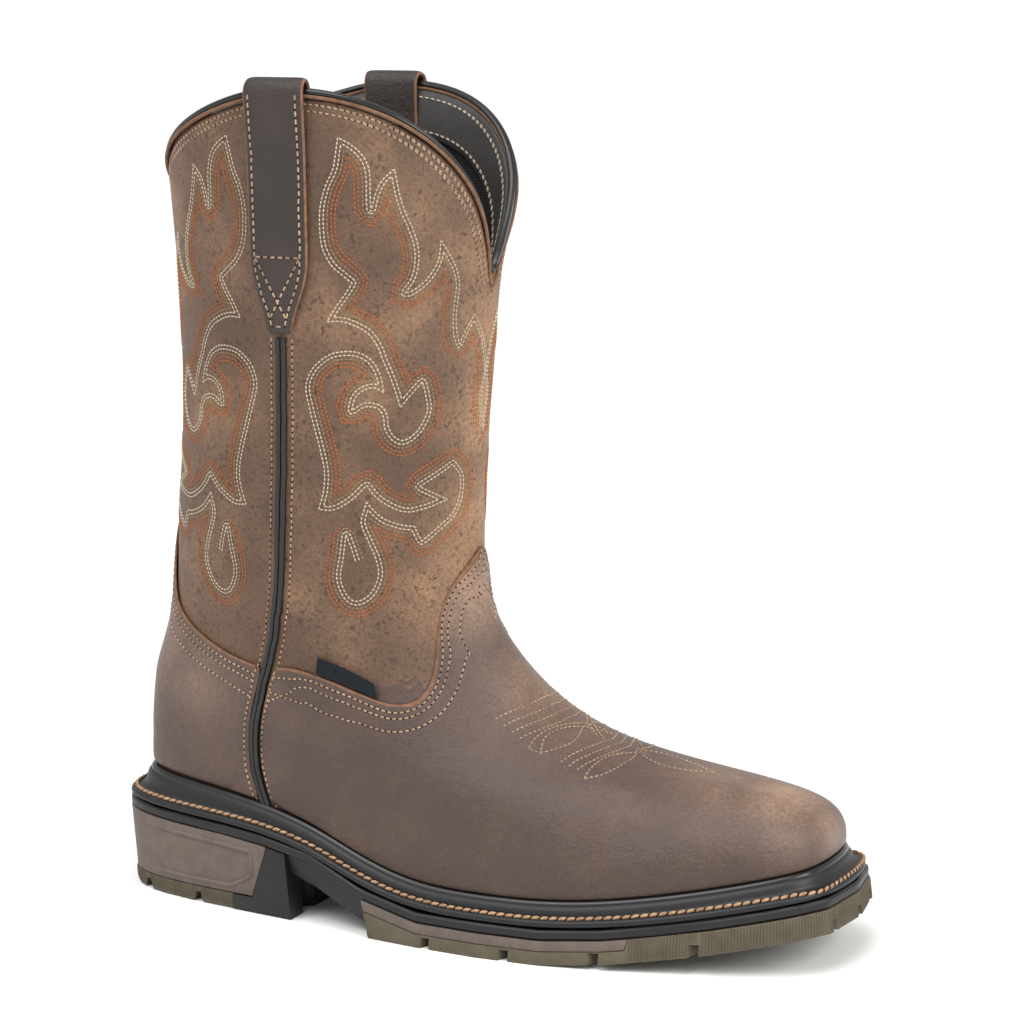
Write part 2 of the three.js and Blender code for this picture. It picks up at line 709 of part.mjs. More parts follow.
// Side inserts: a strip let into each side of the forefoot under the midsole.
function insertBand(grow) {
  const low = (x) => underMidsole(x) - INSERT_HEIGHT - grow;
  const high = (x) => underMidsole(x) + grow;
  const outer = WELT_REACH + 0.2 + grow * 6;
  const inner = WELT_REACH - INSERT_DEPTH - grow;
  const end = INSERT_END * LAST_LENGTH;
  const top = HEEL_STACK;
  return tier(outer, outer, low, high)
    .subtract(tier(inner, inner, () => -1, () => top))
    .intersect(
      crossBar([
        [TREAD_START - INSERT_SLANT - 2 * grow, top],
        [TREAD_START + INSERT_SLANT - 2 * grow, -1],
        [end - INSERT_SLANT + grow, -1],
        [end + INSERT_SLANT + grow, top],
      ]),
    );
}

function buildForefoot() {
  const rear = crossBar([
    [TREAD_START - INSERT_SLANT, HEEL_STACK],
    [TREAD_START + INSERT_SLANT, -1],
    [TREAD_END + LUG_PITCH, -1],
    [TREAD_END + LUG_PITCH, HEEL_STACK],
  ]);
  let tread = tier(WELT_REACH + TREAD_FLARE, WELT_REACH, spring, underMidsole)
    .intersect(rear)
    .subtract(insertBand(CLEARANCE));
  for (const groove of treadGrooves()) tread = tread.subtract(groove);
  addPiece("outsole", geometryFrom(tread), 0x5d5a4c, 0.75);

  const band = insertBand(0);
  const halves = { lateral: [-BALL_WIDTH, 0], medial: [0, BALL_WIDTH] };
  for (const [side, [yLow, yHigh]] of Object.entries(halves)) {
    const half = crossBar(
      [
        [-LAST_LENGTH, -1],
        [2 * LAST_LENGTH, -1],
        [2 * LAST_LENGTH, HEEL_STACK],
        [-LAST_LENGTH, HEEL_STACK],
      ],
      yLow,
      yHigh,
    );
    addPiece(`side_insert_${side}`, geometryFrom(band.intersect(half)), 0x665750, 0.7);
  }
}

// Heel: a black core that carries the breast and the arch, a moulded plate let into its side
// and an olive lift under it.
const BREAST = HEEL_LENGTH - WELT_REACH * HEEL_REACH_SHARE; // from the last's back
function heelPlate(grow) {
  const low = () => HEEL_LIFT + CLEARANCE - grow;
  const high = (x) => underMidsole(x) + grow;
  const outer = WELT_REACH + grow * 6;
  const inner = WELT_REACH - PLATE_DEPTH / HEEL_REACH_SHARE - grow;
  const end = crossBar([
    [-LAST_LENGTH, -1],
    [BREAST - PLATE_START + grow, -1],
    [BREAST - PLATE_START + PLATE_SLANT + grow, HEEL_STACK],
    [-LAST_LENGTH, HEEL_STACK],
  ]);
  return tier(outer - HEEL_TAPER, outer, low, high)
    .subtract(tier(inner - HEEL_TAPER, inner, () => -1, () => HEEL_STACK))
    .intersect(end);
}

// The underside of the arch, from the heel's breast to the forefoot.
const archZ = (x) =>
  lerp(
    underMidsole(BREAST) - ARCH_THICKNESS,
    LUG_DEPTH,
    THREE.MathUtils.clamp((x - BREAST) / (TREAD_START - BREAST), 0, 1),
  );

function heelLift() {
  const front = BREAST - LIFT_START;
  const reach = WELT_REACH - HEEL_TAPER;
  const lift = tier(reach - 0.4, reach, () => 0, () => HEEL_LIFT).intersect(
    crossBar([
      [-LAST_LENGTH, -1],
      [front, -1],
      [front, HEEL_STACK],
      [-LAST_LENGTH, HEEL_STACK],
    ]),
  );
  return { lift, front };
}

function buildHeel() {
  addPiece("heel_plate", geometryFrom(heelPlate(0)), 0x6b5a52, 0.7);

  const { lift, front } = heelLift();
  let tread = lift;
  for (const share of [0.28, 0.72]) {
    const x = lerp(-WELT_REACH, front, share);
    const half = LUG_GROOVE / 2;
    const bar = [
      [x - half * 1.4, -1],
      [x + half * 1.4, -1],
      [x + half * 0.6, LUG_DEPTH],
      [x - half * 0.6, LUG_DEPTH],
    ];
    tread = tread.subtract(crossBar(bar, -BALL_WIDTH, -HEEL_WIDTH / 4));
    tread = tread.subtract(crossBar(bar, HEEL_WIDTH / 4, BALL_WIDTH));
  }
  const lug = LUG_GROOVE / 2;
  const slotEnd = LAST_LENGTH * 0.02;
  const slot = [
    [-LAST_LENGTH, -lug],
    [slotEnd, -lug],
    [slotEnd, lug],
    [-LAST_LENGTH, lug],
  ];
  tread = tread.subtract(post(slot, -1, LUG_DEPTH));
  addPiece("heel_lift", geometryFrom(tread), 0x5a584b, 0.8);

  const block = tier(WELT_REACH - HEEL_TAPER, WELT_REACH - 0.4, () => 0, underMidsole).intersect(
    crossBar([
      [-LAST_LENGTH, -1],
      [BREAST - BREAST_RAKE, -1],
      [BREAST, HEEL_STACK],
      [-LAST_LENGTH, HEEL_STACK],
    ]),
  );
  const liftRoom = crossBar([
    [-LAST_LENGTH, -2],
    [front + CLEARANCE, -2],
    [front + CLEARANCE, HEEL_LIFT + CLEARANCE],
    [-LAST_LENGTH, HEEL_LIFT + CLEARANCE],
  ]);
  const flutes = [-1, 1].map((side) =>
    solid(
      new THREE.CylinderGeometry(FLUTE_RADIUS, FLUTE_RADIUS, 3 * HEEL_STACK, 16)
        .rotateX(Math.PI / 2)
        .translate(BREAST + FLUTE_RADIUS * 0.6, side * FLUTE_PLACE * HEEL_WIDTH, 0),
    ),
  );
  const arch = tier(WELT_REACH * 0.55, WELT_REACH * 0.8, archZ, underMidsole).intersect(
    crossBar([
      [BREAST - HEEL_TAPER * 4, -1],
      [TREAD_START + INSERT_SLANT - CLEARANCE, -1],
      [TREAD_START - INSERT_SLANT - CLEARANCE, HEEL_STACK],
      [BREAST - HEEL_TAPER * 4, HEEL_STACK],
    ]),
  );
  const fluted = block.subtract(flutes[0]).subtract(flutes[1]);
  const core = fluted.add(arch).subtract(heelPlate(CLEARANCE)).subtract(liftRoom);
  addPiece("heel_core", geometryFrom(core), 0x26272a, 0.65);
}

// Piping down each side seam, from the pull strap's end to the storm bead.
const STRAP_END_Z = COLLAR_PEAK - STRAP_OUTSIDE;
function seamPoint(side, z, distance) {
  let round = side === "outer" ? 0.2 : 0.8;
  for (let k = 0; k < 4; k += 1) {
    const level = levelAtHeight(round, z);
    round = seamRound(side, () => level, 0);
  }
  return layer(round, levelAtHeight(round, z), distance);
}

function buildPiping() {
  const shape = new THREE.Shape(
    range(6, (k) => {
      const angle = (k * Math.PI) / 3;
      return new THREE.Vector2(PIPING_RADIUS * Math.cos(angle), PIPING_RADIUS * Math.sin(angle));
    }),
  );
  for (const side of ["outer", "inner"]) {
    const low = seat(LAST_LENGTH * 0.24) + beadAt(LAST_LENGTH * 0.24) + 1;
    const high = STRAP_END_Z - CLEARANCE - 1;
    const points = range(13, (k) =>
      seamPoint(side, lerp(low, high, k / 12), PIPING_RADIUS + CLEARANCE + 0.15),
    );
    const path = new THREE.CatmullRomCurve3(points);
    const geometry = new THREE.ExtrudeGeometry(shape, { steps: 28, extrudePath: path });
    addPiece(`side_piping_${side === "outer" ? "lateral" : "medial"}`, geometry, 0x191919, 0.4);
  }
}

// Black roll along the collar's edge.
function buildBinding() {
  const sections = range(COLUMNS, (i) => {
    const round = columnRounds[ROWS][i];
    const level = rowLevel(ROWS, round);
    const point = skin(round, level);
    const out = outward(round, level);
    const up = point.clone().sub(skin(round, level - 0.1)).normalize();
    const at = (across, rise) =>
      point.clone().addScaledVector(out, across).addScaledVector(up, rise);
    const inner = -WALL - BINDING_OVERHANG;
    return [
      at(inner, CLEARANCE),
      at(BINDING_OVERHANG, CLEARANCE),
      at(BINDING_OVERHANG, CLEARANCE + BINDING_HEIGHT * 0.6),
      at(-WALL * 0.2, CLEARANCE + BINDING_HEIGHT),
      at(-WALL * 0.8, CLEARANCE + BINDING_HEIGHT),
      at(inner, CLEARANCE + BINDING_HEIGHT * 0.6),
    ];
  });
  addPiece("collar_binding", ringGeometry(sections), 0x1b1b1c, 0.45);
}

// Pull straps: down the outside over the seam, over the collar, and down inside.
function strapSheet(side) {
  const centre = (z) => {
    const level = levelAtHeight(side === "outer" ? 0.22 : 0.78, z);
    return seamRound(side, () => level, 0);
  };
  const steps = [
    ...range(13, (k) => ({ below: STRAP_OUTSIDE * (1 - k / 12), face: 1 })),
    ...range(7, (k) => ({ below: 0, turn: ((k + 1) * Math.PI) / 8 })),
    ...range(7, (k) => ({ below: (STRAP_INSIDE * k) / 6, face: -1 })),
  ];
  const acrossSteps = 4;
  const grid = (depth) =>
    range(acrossSteps + 1, (c) =>
      steps.map(({ below, face, turn }) => {
        const z = COLLAR_PEAK - below;
        const middleRound = centre(z);
        const fromTip = smooth((STRAP_OUTSIDE - below) / STRAP_TAPER);
        const taper = face === 1 ? lerp(STRAP_TIP, 1, fromTip) : 1;
        const speed = skin(middleRound + STEP, levelAtHeight(middleRound, z))
          .distanceTo(skin(middleRound - STEP, levelAtHeight(middleRound, z))) / (2 * STEP);
        const round = middleRound + ((c / acrossSteps - 0.5) * STRAP_WIDTH * taper) / speed;
        const level = levelAtHeight(round, z);
        const bulge = STRAP_BULGE * smooth(1 - below / STRAP_TAPER);
        if (face === 1) return layer(round, level, CLEARANCE + bulge + depth);
        if (face === -1) return layer(round, level, -WALL - CLEARANCE - bulge - depth);
        const out = outward(round, level);
        const reach = WALL / 2 + CLEARANCE + STRAP_BULGE + depth;
        const point = skin(round, level).addScaledVector(out, -WALL / 2 + reach * Math.cos(turn));
        point.z += (STRAP_LIFT + depth) * Math.sin(turn);
        return point;
      }),
    );
  return sheetGeometry(grid(STRAP_THICKNESS), grid(0), false);
}

function buildStraps() {
  addPiece("pull_strap_lateral", strapSheet("outer"), 0x4a382f, 0.6);
  addPiece("pull_strap_medial", strapSheet("inner"), 0x4a382f, 0.6);
}

// A small woven tag on the outer side, standing on the vamp's edge. It lies on the upper's grid.
function buildTag() {
  const at = (column, rise, distance) => {
    const i = Math.floor(column);
    const corner = (k, j) => gridLayer(k, j, distance);
    const low = corner(i, FOOT_ROWS).lerp(corner(i + 1, FOOT_ROWS), column - i);
    const high = corner(i, FOOT_ROWS + 1).lerp(corner(i + 1, FOOT_ROWS + 1), column - i);
    return low.lerp(high, rise / low.distanceTo(high));
  };
  const front = QUARTER + (1 - TAG_PLACE) * QUARTER;
  const pitch = at(front, 0, 0).distanceTo(at(front - 1, 0, 0));
  const side = (distance) =>
    range(7, (c) =>
      range(2, (r) => {
        const column = front - ((1 - c / 6) * TAG_LENGTH) / pitch;
        return at(column, 2 * CLEARANCE + r * TAG_HEIGHT, distance);
      }),
    );
  const gap = 3 * CLEARANCE;
  addPiece("side_tag", sheetGeometry(side(gap + TAG_THICKNESS), side(gap), false), 0x1c2126, 0.8);
}

buildUpper();
buildOverlays();
buildWelt();
buildMidsole();
buildInsole();
buildForefoot();
buildHeel();
buildPiping();
buildBinding();
buildStraps();
buildTag();

export default boot;
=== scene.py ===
import math

import bmesh
import bpy
import numpy as np
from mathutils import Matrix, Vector
from mathutils.bvhtree import BVHTree


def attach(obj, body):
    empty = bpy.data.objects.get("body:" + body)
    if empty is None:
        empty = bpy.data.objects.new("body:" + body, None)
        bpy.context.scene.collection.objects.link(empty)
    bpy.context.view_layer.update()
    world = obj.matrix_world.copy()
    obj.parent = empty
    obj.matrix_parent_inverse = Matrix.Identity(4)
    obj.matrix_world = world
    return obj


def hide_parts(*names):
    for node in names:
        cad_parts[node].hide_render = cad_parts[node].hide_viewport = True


bl_info = {
    "name": "Western Work Boot",
    "version": (1, 0, 0),
    "blender": (4, 5, 0),
    "location": "View3D > Sidebar > Boot",
    "description": "Dresses the western work boot with leather, stitching and tread",
    "category": "Object",
}

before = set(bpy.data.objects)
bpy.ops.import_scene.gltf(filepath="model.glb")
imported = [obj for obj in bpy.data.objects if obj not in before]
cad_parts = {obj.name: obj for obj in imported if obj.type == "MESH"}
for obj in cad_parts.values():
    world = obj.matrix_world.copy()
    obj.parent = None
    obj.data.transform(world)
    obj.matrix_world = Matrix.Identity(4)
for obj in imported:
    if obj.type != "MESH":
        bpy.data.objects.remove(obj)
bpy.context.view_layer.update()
MM = 0.001
SHAFT_AXIS = 0.056  # x of the upright line that the shaft's rays start from

# ---------------------------------------------------------------- settings


class BootSewing(bpy.types.PropertyGroup):
    """Sizes of the thread work"""

    flame_pitch: bpy.props.FloatProperty(
        name="Flame pitch", description="Stitch spacing in the flame rows",
        default=0.0017, unit="LENGTH",
    )
    seam_pitch: bpy.props.FloatProperty(
        name="Seam pitch", description="Stitch spacing along seams and edges",
        default=0.0025, unit="LENGTH",
    )
    welt_pitch: bpy.props.FloatProperty(
        name="Welt pitch", description="Stitch spacing round the welt",
        default=0.0036, unit="LENGTH",
    )
    rib_pitch: bpy.props.FloatProperty(
        name="Rib pitch", description="Spacing of the fine ribs on the tread's sides",
        default=0.00125, unit="LENGTH",
    )


class BootColours(bpy.types.PropertyGroup):
    """Colours of the leathers"""

    shaft: bpy.props.StringProperty(
        name="Shaft", description="Shaft leather, sRGB hex", default="#765944"
    )
    vamp: bpy.props.StringProperty(
        name="Vamp", description="Vamp and counter leather, sRGB hex", default="#533f36"
    )
    strap: bpy.props.StringProperty(
        name="Strap", description="Pull strap leather, sRGB hex", default="#352a25"
    )


# ---------------------------------------------------------------- tables

# The flame stitch on a quarter of the shaft, tip to tip: distance round the shaft from the
# front's middle, and height above the ground. Each part starts where the last one ends.
FLAME_START = (0, 212)
FLAME = [
    [(0, 205), (1, 200)],
    [(2, 207), (3, 214), (1, 222), (2, 229), (5, 236), (8, 241), (12, 246)],
    [(16, 241), (19, 235)],
    [(21, 240), (22, 246), (22, 252), (22, 258), (24, 264), (28, 270), (33, 276)],
    [(33, 269), (35, 264), (38, 260), (42, 257), (45, 256)],
    [(42, 261), (41, 267), (42, 274), (45, 281), (49, 288), (52, 295), (55, 304)],
    [(59, 300), (61, 295), (62, 288)],
    [(63, 294), (64, 301), (66, 307), (69, 311), (73, 314), (77, 316)],
    [(78, 309), (79, 303), (81, 297), (82, 289), (81, 280), (79, 273), (75, 267),
     (70, 263), (66, 260)],
    [(68, 256), (71, 251), (74, 245)],
    [(68, 245), (62, 243), (57, 240), (53, 235), (50, 229), (46, 221), (42, 211)],
    [(39, 215), (34, 221)],
    [(32, 215), (31, 209), (34, 202), (39, 198), (43, 199), (46, 203), (47, 208),
     (50, 212), (56, 213), (61, 210)],
    [(60, 215), (57, 218), (53, 219), (49, 217)],
    [(51, 224), (55, 230), (61, 233), (68, 233), (73, 231), (78, 226), (80, 219),
     (78, 211), (75, 202), (72, 193), (70, 185), (70, 178), (72, 170)],
    [(66, 170), (59, 174), (53, 180)],
    [(49, 175), (43, 171), (37, 169), (30, 170), (20, 173)],
    [(26, 176), (32, 179)],
    [(25, 183), (18, 187)],
    [(14, 182), (14, 175), (17, 168), (23, 163), (31, 157)],
    [(34, 163)],
    [(40, 164), (47, 167), (53, 173)],
    [(55, 165), (52, 157), (49, 150), (48, 143), (51, 136), (56, 133), (60, 135),
     (63, 142), (62, 151), (61, 160)],
    [(59, 155), (57, 149)],
]
# Rows of the flame stitch: distance inside the outline, and the thread.
FLAME_ROWS = [(0.0, "cream"), (1.5, "cream"), (3.0, "taupe"), (4.6, "rust"), (6.1, "rust")]
# Way round the shaft from its side line to the middle of the front and of the back, by height.
HALF_GIRTH = {
    "front": [(130, 81.8), (180, 84.7), (230, 90.6), (280, 98.3), (305, 102.2), (330, 102.8)],
    "back": [(130, 91.6), (180, 92.4), (230, 92.3), (280, 96.0), (305, 98.9), (330, 102.3)],
}

# Stitching on the vamp, seen from above: forward, and out from the middle line.
BACK_BOW = [(136, 29), (141, 22), (146, 12), (148, 0)]
FRONT_BOW = [(164, 29), (169, 19), (173, 9), (175, 0)]
TOE_ROWS = [
    *([(x + shift, y) for x, y in BACK_BOW] for shift in (0, 3.5, 7, 10.5)),
    [(151, 30), (152, 25), (155, 18), (160, 8), (164, 0), (170, -5)],
    [(151, 30), (157, 28), (163, 21), (165, 14), (164, 5), (165, 0)],
    [(156, 30), (155, 23), (158, 15), (163, 6), (168, 0), (173, -5)],
    *([(x + shift, y) for x, y in FRONT_BOW] for shift in (0, 3.5, 7)),
    [(175, 31), (176, 24), (179, 15), (184, 7), (189, 0)],
    [(175, 31), (181, 26), (185, 18), (187, 8), (185, 0)],
    [(186, 0), (191, 5), (199, 7), (208, 5), (218, 0)],
]

# Lighter places on the leather, partly real wear and partly painted highlight on the shaft's
# front edge, the instep and the toe's top: middle of each, its radius and its strength.
WEAR_AND_HIGHLIGHT_SPOTS = [
    (248, 4, 63, 17, 0.95), (264, 2, 53, 13, 0.6), (256, -22, 52, 12, 0.35),
    (222, 4, 68, 24, 0.4), (158, 0, 84, 22, 0.25), (141, 4, 97, 20, 0.5),
    (118, -6, 134, 18, 0.8), (120, 4, 170, 18, 0.8), (121, 2, 205, 18, 0.85),
    (123, 0, 240, 18, 0.9), (124, -8, 268, 16, 0.5), (112, -24, 132, 14, 0.55),
    (5, -34, 92, 20, 0.35), (-20, -26, 108, 22, 0.35), (76, -46, 112, 12, 0.35),
    (20, -44, 200, 16, 0.25), (30, -48, 262, 14, 0.25), (10, -42, 150, 14, 0.3),
    (86, -38, 222, 12, 0.3), (100, -36, 244, 12, 0.35), (60, -46, 208, 10, 0.25),
    (104, -34, 292, 14, 0.3), (66, -46, 150, 10, 0.2),
]
# Dark places, given the same way: partly darker dye and partly painted shade, the shade
# on the lower sides of the vamp and the toe.
DYE_AND_SHADE_SPOTS = [
    (64, -50, 300, 30, 0.45), (88, -40, 190, 20, 0.5), (60, -42, 112, 20, 0.55),
    (84, -44, 78, 30, 0.6), (126, -46, 44, 34, 0.55), (172, -50, 34, 40, 0.6),
    (214, -46, 34, 34, 0.6), (242, -34, 38, 22, 0.75), (60, -36, 60, 26, 0.4),
    (40, -48, 150, 14, 0.4), (4, -38, 60, 20, 0.35), (110, -30, 214, 12, 0.2),
    (36, -48, 240, 16, 0.4), (43, -46, 200, 12, 0.5), (46, -47, 160, 12, 0.4),
    (96, -36, 160, 18, 0.35), (106, -38, 318, 14, 0.5),
]

# ---------------------------------------------------------------- measures

SIDES = {"lateral": -1, "medial": 1}  # with the sign of y
RAY_REACH = 0.2  # longest ray between the shaft's upright line and its wall
MERGE_DISTANCE, QUAD_LIMIT = 2e-5, math.radians(70)  # for joining up the CAD's triangles
CURVE_PARTS = 8  # parts between two given points of a smooth curve
MEDIAL_SPOT_SHARE = 0.8  # inner side's share of wear, dye, painted highlight and shade

PIPING_RADIUS, PIPING_SHIFT, PIPING_LIFT = 0.00118, 0.00108, 0.0007
PIPING_CLEARANCE = 0.0042  # rows of stitching end at this distance from the piping
PIPING_SEAM = 0.0045  # distance of the seams on both sides of the piping

# Facing inside the collar: depth below the rim and lift off the wall, in millimetres.
FACING = [(0.2, 0.3), (1, 0.7), (4, 0.8), (8, 0.8), (12, 0.8), (16, 0.8), (18.4, 0.7), (19, 0.1)]
FACING_SEAMS, FACING_SEAM_LIFT = (3.2, 16.6), 1.7
COLLAR_SEAMS = (3.4, 6.0)  # outside, in millimetres below the rim

FOOT_TOP, LINING_DEPTH = 0.1, 0.0011  # where the foot ends; faces deeper inside are lining
RAW_FOOT = 0.07  # lowest height at which the overlays show a raw edge

STRAP_INSET = 0.0026  # edge stitching of the pull straps
STRAP_BOX = 0.029  # height of the boxed cross
EDGE_ROWS = (0.0024, 0.0048, 0.0098)  # seams beside the top edges of vamp and counter
EDGE_STEP, EDGE_RUN_ON = 0.0015, 11  # step of these rows, and steps added at their ends
FLAME_STEP = 0.003  # height between two lines of the shaft's girth table
# Middle line of the vamp stitching and the height that it drops from, in millimetres.
VAMP_MIDDLE, ABOVE_VAMP = 3.5, 130.0

WELT_SEAM_INSET = 0.0026  # of the waxed stitching from the welt's outline
BEAD_RADIUS, BEAD_INSET, BEAD_DROP = 0.0021, 0.0009, 0.0004
MOULD_LINE_DROPS, MOULD_LINE_RADIUS = (0.0052, 0.0066), 0.0003
# Raised rim on the heel's side plate, and its distance from the plate's top and foot.
RIM_RADIUS, RIM_TOP_INSET, RIM_FOOT_INSET = 0.001, 0.0034, 0.003
WALL_START, WALL_STEP = 0.012, 0.0007  # rays to the sole's wall: start outside it, and spacing
# Ribs of the tread: half width, height, and how deep their sides and back are sunk.
RIB_HALF_WIDTH, RIB_HEIGHT, RIB_SINK, RIB_BACK = 0.00036, 0.00032, 0.0002, 0.0004

# The photograph's camera, fitted to the boot: turn and rise in degrees, the point that it goes
# round, how far right of and above that point it looks, and its lens in millimetres.
CAMERA_TURN, CAMERA_RISE, CAMERA_DISTANCE = 26.085, 10.293, 1.2511
CAMERA_TARGET, CAMERA_RIGHT, CAMERA_UP = (0.080, 0, 0.150), 0.0479, 0.0126
CAMERA_LENS, CAMERA_SENSOR = 108.3, 36.0
# Softboxes: place, size and power.
SOFTBOXES = {
    "key_softbox": ((-0.9, -1.5, 1.3), 1.1, 7.0),
    "front_softbox": ((1.8, -0.5, 1.2), 1.0, 30.0),
}
SOFTBOX_TARGET = (0.1, 0, 0.14)
SUN_WAY, SUN_POWER, SUN_ANGLE = (0.12, 0.4, -0.9), 2.1, 42
FLOOR_SIZE, FLOOR_DROP = 160, 0.0002

# ---------------------------------------------------------------- small tools


def linear(code, share=1.0):
    """Linear colour of an sRGB hex value."""
    parts = [int(code[i : i + 2], 16) / 255 for i in (1, 3, 5)]
    flat = [c / 12.92 if c <= 0.04045 else ((c + 0.055) / 1.055) ** 2.4 for c in parts]
    return (*[c * share for c in flat], 1.0)


def add_node(tree, kind, inputs=None, **settings):
    """Adds a node with its settings, values and links."""
    made = tree.nodes.new(kind)
    for key, value in settings.items():
        setattr(made, key, value)
    for key, value in (inputs or {}).items():
        if isinstance(value, bpy.types.NodeSocket):
            tree.links.new(value, made.inputs[key])
        else:
            made.inputs[key].default_value = value
    return made


def new_material(name):
    """A material with a bare Principled shader, and its object coordinates."""
    made = bpy.data.materials.new(name)
    made.use_nodes = True
    tree = made.node_tree
    tree.nodes.clear()
    shader = add_node(tree, "ShaderNodeBsdfPrincipled")
    add_node(tree, "ShaderNodeOutputMaterial", {0: shader.outputs[0]})
    return made, tree, shader, add_node(tree, "ShaderNodeTexCoord").outputs["Object"]


def only(piece):
    """Selects one piece alone and makes it active."""
    bpy.ops.object.select_all(action="DESELECT")
    piece.select_set(True)
    bpy.context.view_layer.objects.active = piece


def finish_piece(piece, material, slot, smooth=True):
    """Gives a piece its finish and its body; the slot is not used."""
    if material is not None:
        piece.data.materials.clear()
        piece.data.materials.append(material)
    if smooth:
        piece.data.polygons.foreach_set("use_smooth", [True] * len(piece.data.polygons))
    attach(piece, "root")
    return piece


def add_object(name, data):
    """An object at the origin, linked to the scene."""
    made = bpy.data.objects.new(name, data)
    bpy.context.scene.collection.objects.link(made)
    return made


def new_piece(name, points, faces):
    """A mesh object of given points and faces."""
    mesh = bpy.data.meshes.new(name)
    mesh.from_pydata([tuple(p) for p in points], [], [tuple(f) for f in faces])
    mesh.update()
    return add_object(name, mesh)


def edit_all(piece, *steps):
    """Runs edit mode operators, each with its settings, on the whole mesh of a piece."""
    only(piece)
    bpy.ops.object.mode_set(mode="EDIT")
    bpy.ops.mesh.select_all(action="SELECT")
    for operator, settings in steps:
        operator(**settings)
    bpy.ops.mesh.select_all(action="DESELECT")
    bpy.ops.object.mode_set(mode="OBJECT")


def merged_copy(node, name, quads=True):
    """A copy of a CAD node with its triangles joined up again."""
    piece = add_object(name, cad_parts[node].data.copy())
    piece.data.materials.clear()
    only(piece)
    if piece.data.has_custom_normals:
        bpy.ops.mesh.customdata_custom_splitnormals_clear()
    steps = [(bpy.ops.mesh.remove_doubles, {"threshold": MERGE_DISTANCE})]
    if quads:
        limits = {"face_threshold": QUAD_LIMIT, "shape_threshold": QUAD_LIMIT}
        steps.append((bpy.ops.mesh.tris_convert_to_quads, limits))
    edit_all(piece, *steps)
    return piece


def apply_modifier(piece, kind, **settings):
    """Adds a modifier and applies it."""
    only(piece)
    made = piece.modifiers.new(kind.title(), kind)
    for key, value in settings.items():
        setattr(made, key, value)
    bpy.ops.object.modifier_apply(modifier=made.name)


def subdivide(piece, levels):
    """Rounds a piece by Catmull-Clark subdivision."""
    apply_modifier(piece, "SUBSURF", levels=levels, render_levels=levels)


def coordinates(piece):
    """All vertex places of a piece."""
    places = np.empty(len(piece.data.vertices) * 3)
    piece.data.vertices.foreach_get("co", places)
    return places.reshape(-1, 3)


def surface_of(*pieces):
    """A search tree over the faces of several pieces."""
    points, faces = [], []
    for piece in pieces:
        start = len(points)
        points += [tuple(v) for v in coordinates(piece)]
        faces += [[start + i for i in f.vertices] for f in piece.data.polygons]
    return BVHTree.FromPolygons(points, faces)


def sharp_loops(piece, angle=50.0, shortest=0.0022):
    """Closed loops of sharp edges, each as an array of places."""
    mesh = bmesh.new()
    mesh.from_mesh(piece.data)
    near = {}
    for edge in mesh.edges:
        if len(edge.link_faces) != 2 or edge.calc_length() < shortest:
            continue
        if edge.calc_face_angle() > math.radians(angle):
            a, b = edge.verts
            near.setdefault(a.index, []).append(b.index)
            near.setdefault(b.index, []).append(a.index)
    mesh.verts.ensure_lookup_table()
    loops, seen = [], set()
    for start in near:
        if start in seen:
            continue
        loop, here = [start], start
        seen.add(start)
        while True:
            ahead = [n for n in near[here] if n not in seen]
            if not ahead:
                break
            here = ahead[0]
            seen.add(here)
            loop.append(here)
        loops.append(np.array([mesh.verts[i].co[:] for i in loop]))
    mesh.free()
    return loops


def way_along(points):
    """Length of a line up to each of its points."""
    steps = np.linalg.norm(np.diff(points, axis=0), axis=1)
    return np.concatenate([[0], np.cumsum(steps)])


def values_at(at, way, values):
    """Rows of values read off at given lengths along a line."""
    return np.stack([np.interp(at, way, column) for column in values.T], 1)


def resample(points, step, closed=False):
    """Points along a line at an even step, on a smooth curve through the given ones."""
    points = np.asarray(points, float)
    if closed:
        points = np.vstack([points[-2:], points, points[:3]])
    else:
        ends = (2 * points[0] - points[1], 2 * points[-1] - points[-2])
        points = np.vstack([ends[0], points, ends[1]])
    dense = []
    count = len(points) - 3
    for i in range(count):
        p = points[i : i + 4]
        for t in np.linspace(0, 1, CURVE_PARTS + 1)[: None if i == count - 1 else -1]:
            dense.append(
                0.5 * (
                    2 * p[1] + (p[2] - p[0]) * t
                    + (2 * p[0] - 5 * p[1] + 4 * p[2] - p[3]) * t * t
                    + (3 * p[1] - p[0] - 3 * p[2] + p[3]) * t**3
                )
            )
    dense = np.array(dense)
    if closed:
        dense = dense[CURVE_PARTS:-CURVE_PARTS]
    way = way_along(dense)
    at = np.linspace(0, way[-1], max(2, int(round(way[-1] / step)) + 1))
    return values_at(at, way, dense)


def normalise(rows):
    """Rows of directions, each made one long."""
    return rows / np.maximum(np.linalg.norm(rows, axis=1, keepdims=True), 1e-12)


def tangents(points):
    """Unit directions along an open line."""
    return normalise(np.gradient(points, axis=0))


def loop_ways(loop):
    """Unit directions along a closed line."""
    return normalise(np.roll(loop, -1, 0) - np.roll(loop, 1, 0))


def outward(loop):
    """Level unit directions out of a closed outline, square to it."""
    ways = loop_ways(loop)
    out = normalise(np.column_stack([ways[:, 1], -ways[:, 0], 0 * ways[:, 0]]))
    return out if ((loop - loop.mean(0)) * out).sum() > 0 else -out


def from_axis(points):
    """Level unit directions from the shaft's upright line."""
    out = points - np.array([SHAFT_AXIS, 0, 0])
    out[:, 2] = 0
    return normalise(out)


def moving_average(line, reach, closed=True):
    """A line evened out over so many points to each side."""
    count = len(line)
    shifted = [np.arange(count) + k for k in range(-reach, reach + 1)]
    return np.mean([line[i % count if closed else np.clip(i, 0, count - 1)] for i in shifted], 0)


def nearest(points, others):
    """Distance of each point from the closest of the others."""
    return np.linalg.norm(points[:, None] - others[None], axis=2).min(1)


def runs_of(good):
    """Runs of indices over which a condition holds."""
    runs = np.split(np.arange(len(good)), np.flatnonzero(np.diff(good)) + 1)
    return [run for run in runs if len(run) and good[run[0]]]


